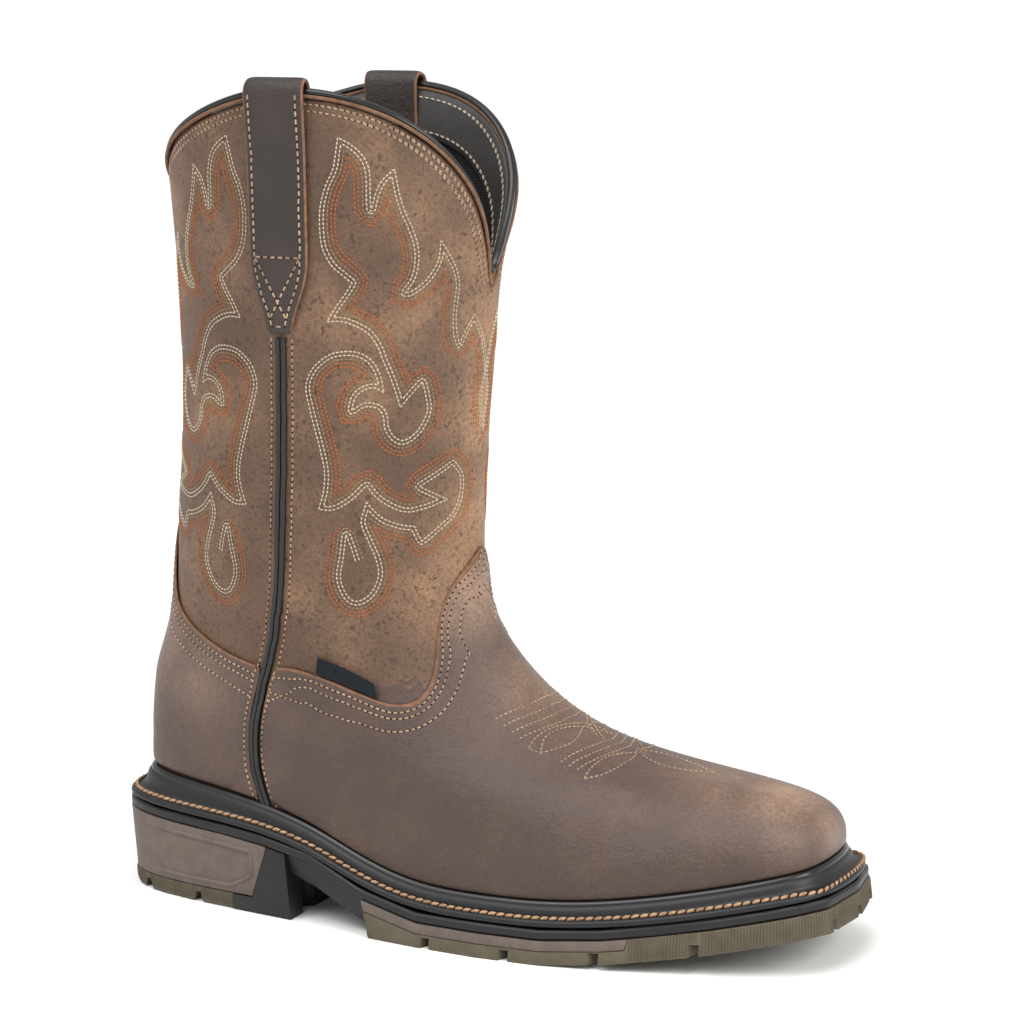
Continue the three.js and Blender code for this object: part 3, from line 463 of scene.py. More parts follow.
def settle(tree, points, directions, lift=0.012):
    """Drops points on to a surface, along one direction or one each; gives places and normals."""
    places, normals = [], []
    directions = np.broadcast_to(np.asarray(directions, float), (len(points), 3))
    for point, way in zip(points, directions):
        way = Vector(way).normalized()
        hit, normal, _, _ = tree.ray_cast(Vector(point) - way * lift, way, lift * 3)
        if hit is not None:
            places.append(hit)
            normals.append(normal if normal.dot(way) < 0 else -normal)
    return np.array(places), np.array(normals)


def stitch_shape(segments, rings):
    """One stitch along X, a unit long, wide and high, with its ends sunk."""
    bpy.ops.object.select_all(action="DESELECT")
    bpy.ops.mesh.primitive_uv_sphere_add(segments=segments, ring_count=rings, radius=0.5)
    shape = bpy.context.active_object
    turn = {"value": math.pi / 2, "orient_axis": "Y", "center_override": (0, 0, 0)}
    edit_all(shape, (bpy.ops.transform.rotate, turn))
    points = coordinates(shape)
    faces = [list(f.vertices) for f in shape.data.polygons]
    bpy.data.objects.remove(shape)
    points[:, 2] -= 0.9 * points[:, 0] ** 2 - 0.08
    return points, faces


STITCH = {"fine": stitch_shape(4, 4), "full": stitch_shape(6, 6), "rope": stitch_shape(8, 8)}


def sew(name, rows, material, slot, pitch, size, shape="fine", slant=0.0, shift=0.0):
    """Lays stitches of one length, width and height along rows of places and normals, as one
    mesh. Slant turns each stitch, and shift moves it on by a share of the pitch."""
    template, faces = STITCH[shape]
    places, ups, ways = [], [], []
    for points, normals in rows:
        if len(points) < 3:
            continue
        way = way_along(points)
        count = int(way[-1] / pitch)
        if count < 1:
            continue
        at = (np.arange(count) + 0.5 + shift) * (way[-1] / count)
        at = at[at < way[-1]]
        for source, target in ((points, places), (normals, ups), (tangents(points), ways)):
            target.append(values_at(at, way, source))
    places, ups, ways = (np.vstack(x) for x in (places, ups, ways))
    ups = normalise(ups)
    sides = normalise(np.cross(ups, ways))
    ways = np.cross(sides, ups)
    if slant:
        c, s = math.cos(slant), math.sin(slant)
        ways, sides = ways * c + sides * s, sides * c - ways * s
    shaped = places[:, None] + sum(
        template[None, :, k : k + 1] * size[k] * axis[:, None]
        for k, axis in enumerate((ways, sides, ups))
    )
    count = len(template)
    all_faces = [[k * count + i for i in f] for k in range(len(places)) for f in faces]
    return finish_piece(new_piece(name, shaped.reshape(-1, 3), all_faces), material, slot)


def round_tube(name, points, radius, material, slot, closed=False):
    """A tube along points, made from a curve with a round bevel."""
    curve = bpy.data.curves.new(name, "CURVE")
    curve.dimensions = "3D"
    curve.bevel_depth = radius
    curve.bevel_resolution = 2
    curve.use_fill_caps = not closed
    line = curve.splines.new("POLY")
    line.points.add(len(points) - 1)
    line.points.foreach_set("co", np.column_stack([points, np.ones(len(points))]).ravel())
    line.use_cyclic_u = closed
    only(add_object(name, curve))
    bpy.ops.object.convert(target="MESH")
    return finish_piece(bpy.context.active_object, material, slot)


def paint(piece):
    """Stores at each vertex how light the leather is from wear and painted highlight, and how
    dark from dye and painted shade.
    """
    places = coordinates(piece) / MM
    for name, spots in (("wear_and_highlight", WEAR_AND_HIGHLIGHT_SPOTS), ("dark", DYE_AND_SHADE_SPOTS)):
        values = np.zeros(len(places))
        for x, y, z, radius, strength in spots:
            for side, share in ((1, 1.0), (-1, MEDIAL_SPOT_SHARE)):
                away = np.linalg.norm(places - np.array([x, side * y, z]), axis=1)
                spot = share * strength * np.exp(-((away / radius) ** 2))
                values = np.maximum(values, spot)
        layer = piece.data.attributes.new(name, "FLOAT", "POINT")
        layer.data.foreach_set("value", values.astype(np.float32))


# ---------------------------------------------------------------- finishes


def oiled_leather(name, base, dark, tan, speck, mottle, rough, soft_tan):
    """Oiled cowhide, drum dyed and waxed: uneven brown with darker specks, lighter where the
    surface is pulled or rubbed and where a highlight is painted, darker where shade is painted,
    and a fine pebbled grain that breaks up the soft gloss."""
    made, tree, shader, place = new_material(name)
    fields = {}
    for key, size, detail, share in (
        ("cloud", 0.034, 4.0, 0.55),  # blotches of the dye
        ("patch", 0.009, 4.0, 0.6),  # patches of wax and rubbing
        ("grain", 0.0011, 3.0, 0.7),  # hair cell grain of about 1 mm
        ("fleck", 0.0019, 3.0, 0.6),  # pores and nicks of 1 to 2 mm
    ):
        fields[key] = add_node(
            tree, "ShaderNodeTexNoise",
            {"Vector": place, "Scale": 1 / size, "Detail": detail, "Roughness": share},
        ).outputs["Fac"]
    masks = {}
    for key, field, low, high, start, end in (
        ("mottled", "cloud", 0.35, 0.68, 0.0, mottle),
        ("rubbed", "patch", 0.3, 0.7, 0.55, 1.0),
        ("pale", "cloud", 0.3, 0.5, soft_tan, 0.0),
        ("pores", "fleck", 0.54, 0.62, 0.0, speck),
        ("pored", "patch", 0.38, 0.6, 0.15, 0.9),
        ("pits", "grain", 0.3, 0.7, 0.6, 0.0),
    ):
        masks[key] = add_node(
            tree, "ShaderNodeMapRange", {0: fields[field], 1: low, 2: high, 3: start, 4: end}
        ).outputs[0]
    # Stored spots: lighter ones of wear and painted highlight, darker ones of dye and painted
    # shade.
    for key in ("wear_and_highlight", "dark"):
        masks[key] = add_node(tree, "ShaderNodeAttribute", attribute_name=key).outputs["Fac"]
    for key, first, second, kind in (
        ("light", "wear_and_highlight", "rubbed", "MULTIPLY"),
        ("light", "light", "pale", "ADD"),
        ("specks", "pores", "pored", "MULTIPLY"),
    ):
        masks[key] = add_node(
            tree, "ShaderNodeMath", {0: masks[first], 1: masks[second]}, operation=kind,
            use_clamp=True,
        ).outputs[0]
    colour = linear(base)
    for key, over in (
        ("mottled", linear(dark)), ("light", linear(tan)), ("dark", linear(dark)),
        ("specks", linear(dark, 0.45)), ("pits", linear(dark, 0.7)),
    ):
        colour = add_node(
            tree, "ShaderNodeMix", {0: masks[key], 6: colour, 7: over}, data_type="RGBA"
        ).outputs[2]
    bump = add_node(
        tree, "ShaderNodeBump", {"Height": fields["grain"], "Strength": 0.5, "Distance": 0.0009}
    )
    bump = add_node(
        tree, "ShaderNodeBump",
        {"Height": fields["patch"], "Strength": 0.35, "Distance": 0.002,
         "Normal": bump.outputs[0]},
    )
    tree.links.new(colour, shader.inputs["Base Color"])
    tree.links.new(bump.outputs[0], shader.inputs["Normal"])
    shader.inputs["Roughness"].default_value = rough
    shader.inputs["Specular IOR Level"].default_value = 0.42
    return made


def plain(name, code, rough, specular=0.4, grit=0.0, grit_size=0.0008, second=None, tone=0.006):
    """One colour with a slight tone change and a moulded or spun surface."""
    made, tree, shader, place = new_material(name)
    blotch, fine = (
        add_node(
            tree, "ShaderNodeTexNoise",
            {"Vector": place, "Scale": 1 / size, "Detail": 3.0, "Roughness": 0.55},
        ).outputs["Fac"]
        for size in (tone, grit_size)
    )
    share = add_node(
        tree, "ShaderNodeMapRange", {0: blotch, 1: 0.35, 2: 0.7, 3: 0.0, 4: 0.8}
    ).outputs[0]
    other = linear(second) if second else linear(code, 0.72)
    colour = add_node(
        tree, "ShaderNodeMix", {0: share, 6: linear(code), 7: other}, data_type="RGBA"
    ).outputs[2]
    bump = add_node(
        tree, "ShaderNodeBump", {"Height": fine, "Strength": grit, "Distance": 0.0004}
    )
    tree.links.new(colour, shader.inputs["Base Color"])
    tree.links.new(bump.outputs[0], shader.inputs["Normal"])
    shader.inputs["Roughness"].default_value = rough
    shader.inputs["Specular IOR Level"].default_value = specular
    return made


def woven(name, code, thread=0.0011):
    """Close woven polyester: two crossing sets of threads, matt and almost black."""
    made, tree, shader, place = new_material(name)
    waves = [
        add_node(
            tree, "ShaderNodeTexWave",
            {"Vector": place, "Scale": 0.3 / thread, "Distortion": 0.6},
            wave_type="BANDS", bands_direction=way,
        ).outputs["Fac"]
        for way in ("Z", "X")
    ]
    both = add_node(
        tree, "ShaderNodeMath", {0: waves[0], 1: waves[1]}, operation="MULTIPLY"
    ).outputs[0]
    colour = add_node(
        tree, "ShaderNodeMix", {0: both, 6: linear(code), 7: linear(code, 2.6)}, data_type="RGBA"
    ).outputs[2]
    bump = add_node(
        tree, "ShaderNodeBump", {"Height": both, "Strength": 0.5, "Distance": 0.0005}
    )
    tree.links.new(colour, shader.inputs["Base Color"])
    tree.links.new(bump.outputs[0], shader.inputs["Normal"])
    shader.inputs["Roughness"].default_value = 0.9
    shader.inputs["Specular IOR Level"].default_value = 0.2
    return made


def make_finishes():
    """All finishes, by the short names that the operators use."""
    colours = bpy.context.scene.boot_colours
    return {
        # Oiled cowhide of the shaft, of the foot and of the pull straps.
        "shaft": oiled_leather(
            "shaft_oiled_cowhide", colours.shaft, "#463327", "#b98f6a", 0.85, 0.6, 0.58, 0.3
        ),
        "vamp": oiled_leather(
            "vamp_oiled_cowhide", colours.vamp, "#43352e", "#b9967c", 0.35, 0.4, 0.41, 0.1
        ),
        "strap": oiled_leather(
            "strap_oiled_cowhide", colours.strap, "#2b2320", "#6d5a4e", 0.3, 0.6, 0.42, 0.15
        ),
        # Cut hide shows its dry fibres; the facing and the trim are thin, dyed and smooth.
        "raw": plain("raw_cut_leather_edge", "#7f5d48", 0.85, 0.2, 0.5, 0.0006, "#5a4334", 0.003),
        "facing": plain("collar_facing_leather", "#3d3a38", 0.5, 0.4, 0.3, 0.0012),
        "trim": plain("glazed_trim_leather", "#171616", 0.3, 0.45),
        # Close polyester weaves.
        "lining": woven("woven_lining", "#1c1c1e"),
        "footbed": woven("footbed_cover", "#121214", 0.0014),
        "tag": woven("woven_tag", "#14171b", 0.0007),
        # Moulded rubber, matt with a fine grit from the mould.
        "black": plain("moulded_black_rubber", "#151517", 0.48, 0.4, 0.25, 0.0009),
        "olive": plain("moulded_olive_rubber", "#57503f", 0.62, 0.35, 0.3, 0.0009),
        "taupe": plain("moulded_taupe_rubber", "#665a53", 0.66, 0.3, 0.3, 0.0011),
        # Spun polyester thread, and painted shadow for the needle's holes and the welt stitches'
        # gaps.
        "cream": plain("cream_polyester_thread", "#beb09a", 0.6, 0.35),
        "taupe_thread": plain("taupe_polyester_thread", "#8b7350", 0.6, 0.3),
        "rust": plain("rust_polyester_thread", "#a4592a", 0.6, 0.3),
        "seam": plain("seam_thread", "#ab9077", 0.65, 0.3, second="#6b5443", tone=0.008),
        "welt_thread": plain(
            "waxed_welt_thread", "#a88766", 0.55, 0.35, second="#6f533d", tone=0.003
        ),
        "hole_shade": plain("needle_hole_shadow", "#241c18", 0.9, 0.1),
        "floor": plain("pale_floor", "#eeeeec", 0.9, 0.1, second="#ececea", tone=0.5),
    }


# Filled by the operators: materials, search trees and lines on the pieces.
finishes = {}
surfaces = {}
outlines = {}

# ---------------------------------------------------------------- operators


class BOOT_OT_upper(bpy.types.Operator):
    """Shaft, vamp and counter as smooth leather, with a woven lining inside"""

    bl_idname = "boot.upper"
    bl_label = "Upper leather"

    def execute(self, context):
        finishes.update(make_finishes())
        shaft = merged_copy("upper", "shaft_leather")
        outlines["upper"] = sharp_loops(shaft)
        for finish in ("shaft", "lining", "vamp"):
            shaft.data.materials.append(finishes[finish])
        subdivide(shaft, 2)
        whole = surface_of(shaft)
        for face in shaft.data.polygons:
            spot = face.center
            away = Vector((spot.x - SHAFT_AXIS, spot.y, 0)).normalized()
            if spot.z > FOOT_TOP:
                start = Vector((SHAFT_AXIS, 0, spot.z)) + away * RAY_REACH
                hit = whole.ray_cast(start, -away, RAY_REACH * 1.25)[0]
                covered = hit is not None and (hit - spot).length > LINING_DEPTH
                face.material_index = 1 if covered else 0
            else:
                # In the toe box the lining is above, so it faces down.
                inward = face.normal.dot(away) < 0 or (spot.x > 0.1 and face.normal.z < -0.1)
                face.material_index = 1 if inward else 2
        paint(shaft)
        finish_piece(shaft, None, "shaft_leather")
        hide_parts("upper")
        core = surface_of(shaft)
        dressed = [shaft]
        for node in ("vamp", "counter"):
            piece = merged_copy(node, f"{node}_leather")
            loops = [loop for loop in sharp_loops(piece) if len(loop) > 30]
            outlines[node] = max(
                loops, key=lambda loop: np.mean([core.find_nearest(p)[3] for p in loop])
            )
            piece.data.materials.append(finishes["vamp"])
            piece.data.materials.append(finishes["raw"])
            for face in piece.data.polygons:
                # Cut sides stand square to the leather under them; those that face down or
                # sideways at the waist stay dark.
                out = core.find_nearest(face.center)[1]
                apart = face.center.x > 0.08 or face.center.x < 0.005
                cut = abs(out.dot(face.normal)) < 0.45 and (face.normal.z > 0.3 or apart)
                face.material_index = 1 if cut and face.center.z > RAW_FOOT else 0
            subdivide(piece, 3)
            paint(piece)
            finish_piece(piece, None, "vamp_leather")
            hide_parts(node)
            dressed.append(piece)
        surfaces["shaft"] = core
        surfaces["skin"] = surface_of(*dressed)
        return {"FINISHED"}


class BOOT_OT_trim(bpy.types.Operator):
    """Side piping, collar binding, raw collar edge and the facing inside the collar"""

    bl_idname = "boot.trim"
    bl_label = "Piping and binding"

    def execute(self, context):
        for side, sign in SIDES.items():
            node = f"side_piping_{side}"
            places = coordinates(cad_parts[node])
            steps = np.arange(places[:, 2].min() + 0.001, places[:, 2].max() - 0.0005, 0.003)
            line = np.array(
                [places[np.abs(places[:, 2] - z) < 0.0045].mean(0) for z in steps]
            )
            # The line starts a little lower, so that the cords reach the foot's leather.
            foot = line[0] - tangents(line)[0] * 0.0045
            line = resample(np.vstack([foot, line]), 0.002)
            on, normals = settle(surfaces["skin"], line, (0, -sign, 0))
            outlines[node] = (on, normals)
            across = np.cross(tangents(on), normals) * PIPING_SHIFT
            cords = [
                round_tube(f"{node}_cord_{end}", on + across * way + normals * PIPING_LIFT,
                           PIPING_RADIUS, finishes["trim"], "black_trim")
                for end, way in (("front", 1), ("back", -1))
            ]
            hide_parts(node)

        binding = merged_copy("collar_binding", "collar_roll")
        subdivide(binding, 2)
        finish_piece(binding, finishes["trim"], "black_trim")
        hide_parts("collar_binding")

        rim = max(outlines["upper"], key=lambda loop: loop[:, 2].mean() + np.ptp(loop[:, 1]))
        outer = resample(rim, 0.002, closed=True)[:-1]
        outlines["collar"] = outer
        round_tube("collar_raw_edge", outer + slope_down(outer) * 0.0004, 0.00075,
                   finishes["raw"], "shaft_leather", closed=True)

        # Facing: a leather band over the lining, from the collar down.
        rim = resample(outer, 0.004, closed=True)[:-1]
        fall = slope_down(rim)
        rim, _ = inside_wall(rim + fall * 0.0009)
        points, across = [], len(rim)
        for depth, lift in FACING:
            place, normal = inside_wall(rim + fall * depth * MM)
            points.append(place + normal * lift * MM)
        faces = [
            (j * across + i, j * across + (i + 1) % across,
             (j + 1) * across + (i + 1) % across, (j + 1) * across + i)
            for j in range(len(FACING) - 1) for i in range(across)
        ]
        band = new_piece("collar_facing", np.vstack(points), faces)
        edit_all(band, (bpy.ops.mesh.normals_make_consistent, {"inside": True}))
        apply_modifier(band, "SOLIDIFY", thickness=0.0008, offset=-1.0)
        finish_piece(band, finishes["facing"], "black_trim")
        rows = []
        for depth in FACING_SEAMS:
            place, normal = inside_wall(rim + fall * depth * MM)
            rows.append((place + normal * FACING_SEAM_LIFT * MM, normal))
        sew("facing_stitches", rows, finishes["cream"], "black_trim", 0.003,
            (0.0021, 0.0006, 0.0006), "full")
        return {"FINISHED"}


def slope_down(rim):
    """Directions down the wall, square to a closed rim."""
    down = normalise(np.cross(loop_ways(rim), from_axis(rim)))
    return down * np.where(down[:, 2:3] > 0, -1, 1)


def inside_wall(points):
    """Places and inward normals on the shaft's inner wall beside the given points."""
    places, normals = [], []
    for x, y, z in points:
        start = Vector((SHAFT_AXIS, 0, z))
        way = (Vector((x, y, z)) - start).normalized()
        hit, normal, _, _ = surfaces["shaft"].ray_cast(start, way, RAY_REACH)
        if hit is None:
            hit, normal = Vector((x, y, z)), -way
        places.append(hit)
        normals.append(normal if normal.dot(way) < 0 else -normal)
    return np.array(places), np.array(normals)


def strap_span(tree, sign, z):
    """Where a pull strap starts and ends in x, at one height."""
    hits = [
        x for x in np.arange(0.038, 0.076, 0.0004)
        if tree.ray_cast(Vector((x, sign * 0.1, z)), Vector((0, -sign, 0)), 0.06)[0] is not None
    ]
    return min(hits), max(hits)


class BOOT_OT_straps(bpy.types.Operator):
    """Pull straps with raw edges, edge stitching and a boxed cross"""

    bl_idname = "boot.straps"
    bl_label = "Pull straps"

    def execute(self, context):
        rows = []
        for side, sign in SIDES.items():
            node = f"pull_strap_{side}"
            strap = merged_copy(node, f"{node}_leather")
            strap.data.materials.append(finishes["strap"])
            strap.data.materials.append(finishes["raw"])
            for face in strap.data.polygons:
                face.material_index = 1 if abs(face.normal.x) > 0.62 else 0
            subdivide(strap, 2)
            paint(strap)
            finish_piece(strap, None, "strap_leather")
            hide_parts(node)
            tree = surface_of(strap)
            levels = coordinates(strap)[:, 2]
            foot = levels.min()
            heights = np.arange(foot + 0.0028, levels.max() - 0.0035, 0.003)
            spans = np.array([strap_span(tree, sign, z) for z in heights])
            left, right = (
                np.column_stack([x, np.full(len(x), sign * 0.07), heights])
                for x in (spans[:, 0] + STRAP_INSET, spans[:, 1] - STRAP_INSET)
            )
            box = int(np.argmin(np.abs(heights - (foot + STRAP_BOX))))
            lines = [
                left, right,
                [left[0], right[0]], [left[box], right[box]],
                [left[1], right[box]], [right[1], left[box]],
            ]
            for line in lines:
                on, normals = settle(tree, resample(line, 0.0015), (0, -sign, 0), 0.03)
                if len(on) > 2:
                    rows.append((on, normals))
        sew("strap_stitches", rows, finishes["seam"], "strap_leather", 0.003,
            (0.0024, 0.00085, 0.0008), "full")
        # Flush dark marks between the stitches: painted shadow in the needle holes.
        sew("strap_needle_hole_shade", rows, finishes["hole_shade"], "strap_leather", 0.003,
            (0.0011, 0.0009, 0.0003), "fine", shift=-0.5)
        return {"FINISHED"}


def top_run(loop, count=25):
    """The highest stretch of a closed loop, count points long."""
    sums = [np.roll(loop, -k, 0)[:count, 2].sum() for k in range(len(loop))]
    return np.roll(loop, -int(np.argmax(sums)), 0)[:count]


def edge_rows(line, offsets, tree, cords):
    """Rows beside a line on a surface, each at its distance, towards the ground."""
    line = resample(line, EDGE_STEP)
    out = line - np.array([SHAFT_AXIS, 0, 0])
    near = [tree.find_nearest(p)[1] for p in line]
    normals = np.array([n if Vector(o).dot(n) > 0 else -n for n, o in zip(near, out)])
    smooth = np.array([np.convolve(column, np.ones(7) / 7, "same") for column in normals.T]).T
    smooth[:3], smooth[-3:] = normals[:3], normals[-3:]
    down = normalise(np.cross(smooth, tangents(line)))
    if down[:, 2].mean() > 0:
        down = -down
    rows = []
    for offset in offsets:
        moved, ups = settle(tree, line + down * offset, -smooth)
        # Rows stop before they cross the edge or bend round the piping's end.
        bend = 0.02 if offset > 0.006 else 0.0135
        good = (nearest(moved, line) > offset * 0.95) & (nearest(moved, cords) > bend)
        for run in runs_of(good):
            good[run] = len(run) > 8
        moved, ups = moved[good], ups[good]
        if len(moved) > 12:
            # Straight on at both ends, up to the piping.
            steps = np.arange(1, EDGE_RUN_ON + 1)[:, None] * EDGE_STEP
            head = moved[0] + steps[::-1] * normalise(moved[:1] - moved[5:6])
            tail = moved[-1] + steps * normalise(moved[-1:] - moved[-6:-5])
            moved = np.vstack([head, moved, tail])
            ups = np.vstack([ups[:1].repeat(EDGE_RUN_ON, 0), ups,
                             ups[-1:].repeat(EDGE_RUN_ON, 0)])
            clear = nearest(moved, cords) > PIPING_CLEARANCE
            moved, ups = moved[clear], ups[clear]
        if len(moved) > 3:
            on, ups = settle(tree, moved, -ups)
            if len(on) > 3:
                rows.append((on, ups))
    return rows


class BOOT_OT_seams(bpy.types.Operator):
    """Rows of seam stitching along the collar, the side seams and the leather's edges"""

    bl_idname = "boot.seams"
    bl_label = "Seam stitching"

    def execute(self, context):
        pitch = context.scene.boot_sewing.seam_pitch
        skin = surfaces["skin"]
        rows = []
        rim = outlines["collar"]
        for depth in COLLAR_SEAMS:
            settled = settle(skin, rim + slope_down(rim) * depth * MM, -from_axis(rim))
            even = [moving_average(values, 3) for values in settled]
            rows.append(tuple(np.vstack([values, values[:1]]) for values in even))
        piping = [outlines[f"side_piping_{side}"] for side in SIDES]
        cords = np.vstack([on for on, _ in piping])
        for node in ("vamp", "counter"):
            rows += edge_rows(top_run(outlines[node]), EDGE_ROWS, skin, cords)
        for on, normals in piping:
            across = np.cross(tangents(on), normals)
            for shift in (PIPING_SEAM, -PIPING_SEAM):
                rows.append(settle(skin, on + across * shift, -normals))
        sew("seam_stitches", rows, finishes["seam"], "shaft_leather", pitch,
            (pitch * 0.8, 0.00075, 0.0007), "full")
        # Flush dark marks between the stitches: painted shadow in the needle holes.
        sew("seam_needle_hole_shade", rows, finishes["hole_shade"], "shaft_leather", pitch,
            (pitch * 0.42, 0.00085, 0.0003), "fine", shift=-0.5)
        return {"FINISHED"}


def flame_line():
    """The flame's outline as one even line, in millimetres round and up."""
    starts = [FLAME_START] + [part[-1] for part in FLAME[:-1]]
    parts = [resample([start, *part], 0.6) for start, part in zip(starts, FLAME)]
    return np.vstack([part[:-1] for part in parts[:-1]] + [parts[-1]])


def offset_runs(line, distance):
    """Stretches of the line moved sideways to its inside, cut where they would cross it."""
    if distance == 0:
        return [line]
    ways = tangents(line)
    moved = line + np.column_stack([ways[:, 1], -ways[:, 0]]) * distance
    keep = nearest(moved, line) > distance - 0.12
    return [moved[run] for run in runs_of(keep) if len(run) > 6]


def shaft_hit(tree, ahead, side, turn, z):
    """Place and normal on the shaft's outside, at a height and a turn from its side line."""
    out = Vector((ahead * math.sin(turn), side * math.cos(turn), 0))
    start = Vector((SHAFT_AXIS, 0, z)) + out * RAY_REACH
    hit, normal, _, _ = tree.ray_cast(start, -out, RAY_REACH)
    if hit is None:
        return None, None
    return hit, normal if normal.dot(out) > 0 else -normal


def girth_table(tree, ahead, side, heights, turns):
    """Way round the shaft from its side line, at each height and turn."""
    table = np.full((len(heights), len(turns)), np.nan)
    for j, z in enumerate(heights):
        way, last = 0.0, None
        for k, turn in enumerate(turns):
            hit, _ = shaft_hit(tree, ahead, side, turn, z)
            if hit is None:
                break
            if last is not None:
                way += (hit - last).length
            table[j, k] = way
            last = hit
    return table


def turn_at(table, heights, turns, way, z):
    """The turn that lies a given way round at a height; None past the shaft's middle."""
    row = np.clip((z - heights[0]) / FLAME_STEP, 0, len(heights) - 1.001)
    low = int(row)
    ways = table[low] * (1 - (row - low)) + table[low + 1] * (row - low)
    good = ~np.isnan(ways)
    if good.sum() < 3 or way > ways[good].max():
        return None
    return np.interp(way, ways[good], turns[good])


class BOOT_OT_flames(bpy.types.Operator):
    """Rows of flame stitching on the front and back of the shaft, both sides"""

    bl_idname = "boot.flames"
    bl_label = "Flame stitching"

    def execute(self, context):
        pitch = context.scene.boot_sewing.flame_pitch
        tree = surfaces["shaft"]
        heights = np.arange(0.128, 0.3261, FLAME_STEP)
        turns = np.radians(np.arange(0, 91, 2.0))
        line = flame_line()
        threads = {"cream": [], "taupe": [], "rust": []}
        for face, ahead in (("front", 1), ("back", -1)):
            girth = np.array(HALF_GIRTH[face]).T
            for side in SIDES.values():
                table = girth_table(tree, ahead, side, heights, turns)
                for distance, thread in FLAME_ROWS:
                    for run in offset_runs(line, distance):
                        around = np.interp(run[:, 1], *girth) - run[:, 0]
                        row = []
                        for way, z in zip(around * MM, run[:, 1] * MM):
                            turn = turn_at(table, heights, turns, way, z)
                            if turn is not None:
                                row.append(shaft_hit(tree, ahead, side, turn, z))
                        row = [(hit, up) for hit, up in row if hit is not None]
                        if len(row) > 5:
                            threads[thread].append([np.array(part) for part in zip(*row)])
        for thread, rows in threads.items():
            finish = "taupe_thread" if thread == "taupe" else thread
            sew(f"flame_stitches_{thread}", rows, finishes[finish], "shaft_leather", pitch,
                (pitch * 0.9, 0.00066, 0.00075), "fine")
        return {"FINISHED"}


class BOOT_OT_toe_stitch(bpy.types.Operator):
    """Rows and leaves of fine stitching across the vamp"""

    bl_idname = "boot.toe_stitch"
    bl_label = "Vamp stitching"

    def execute(self, context):
        rows = []
        for part in TOE_ROWS:
            flat = resample(part, 1.0)
            for side in SIDES.values():
                line = np.column_stack(
                    [flat[:, 0], side * flat[:, 1] + VAMP_MIDDLE, np.full(len(flat), ABOVE_VAMP)]
                ) * MM
                rows.append(settle(surfaces["skin"], line, (0, 0, -1), 0.05))
        sew("vamp_stitches", rows, finishes["seam"], "vamp_leather", 0.0021,
            (0.0017, 0.00075, 0.0008), "fine")
        return {"FINISHED"}


class BOOT_OT_welt(bpy.types.Operator):
    """Storm welt with its bead, and the waxed thread that holds it"""

    bl_idname = "boot.welt"
    bl_label = "Welt"

    def execute(self, context):
        welt = merged_copy("welt", "storm_welt")
        loops = sharp_loops(welt, 30)
        outer = max(loops, key=lambda loop: np.ptp(loop[:, 0]) + np.ptp(loop[:, 1]))
        edge = resample(outer, 0.002, closed=True)[:-1]
        outlines["welt"] = edge
        subdivide(welt, 2)
        finish_piece(welt, finishes["black"], "black_rubber")
        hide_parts("welt")
        tree = surface_of(welt)
        inward = -outward(edge)
        settled = settle(tree, edge + inward * WELT_SEAM_INSET, (0, 0, -1), 0.006)
        on, normals = (np.vstack([values, values[:1]]) for values in settled)

        # The bead lies on the welt's highest line, found by rays from above.
        ridge = []
        for spot, way in zip(edge, inward):
            tops = []
            for step in np.arange(0.004, 0.0115, 0.0005):
                start = Vector(spot + way * step) + Vector((0, 0, 0.02))
                hit = tree.ray_cast(start, Vector((0, 0, -1)), 0.04)[0]
                if hit is not None:
                    tops.append(hit)
            ridge.append(max(tops, key=lambda hit: hit.z) if tops else Vector(spot))
        bead = moving_average(np.array(ridge), 4) + moving_average(inward, 4) * BEAD_INSET
        bead[:, 2] -= BEAD_DROP
        round_tube("welt_bead", bead, BEAD_RADIUS, finishes["trim"], "black_rubber", closed=True)

        pitch = context.scene.boot_sewing.welt_pitch
        row = (on + normals * 0.0003, normals)
        sew("welt_stitches", [row], finishes["welt_thread"], "black_rubber", pitch,
            (pitch * 1.16, 0.0014, 0.0016), "rope", slant=0.26)
        # Dark slanted marks between the rope stitches: painted shadow in the gaps of the twist.
        sew("welt_stitch_gap_shade", [row], finishes["hole_shade"], "black_rubber", pitch,
            (pitch * 0.42, 0.0017, 0.001), "full", slant=-0.5, shift=-0.5)
        return {"FINISHED"}


def level_edges(piece):
    """Joins flat faces and rounds the outline's soft upright corners."""
    edit_all(piece, (bpy.ops.mesh.dissolve_limited, {"angle_limit": math.radians(3)}))
    mesh = bmesh.new()
    mesh.from_mesh(piece.data)
    weights = []
    for edge in mesh.edges:
        soft = len(edge.link_faces) == 2 and 6 < math.degrees(edge.calc_face_angle()) < 62
        way = edge.verts[1].co - edge.verts[0].co
        weights.append(1.0 if soft and abs(way.z) > 0.7 * way.length else 0.0)
    mesh.free()
    layer = piece.data.attributes.new("bevel_weight_edge", "FLOAT", "EDGE")
    layer.data.foreach_set("value", weights)
    apply_modifier(piece, "BEVEL", width=0.006, segments=4, limit_method="WEIGHT")


def wall_hits(tree, start, push, heights, reach):
    """Places and normals up a wall of the sole, met from outside; None where there is none."""
    push = Vector(push)
    for z in heights:
        yield tree.ray_cast(Vector((start[0], start[1], z)) + push * WALL_START, -push, reach)[:2]


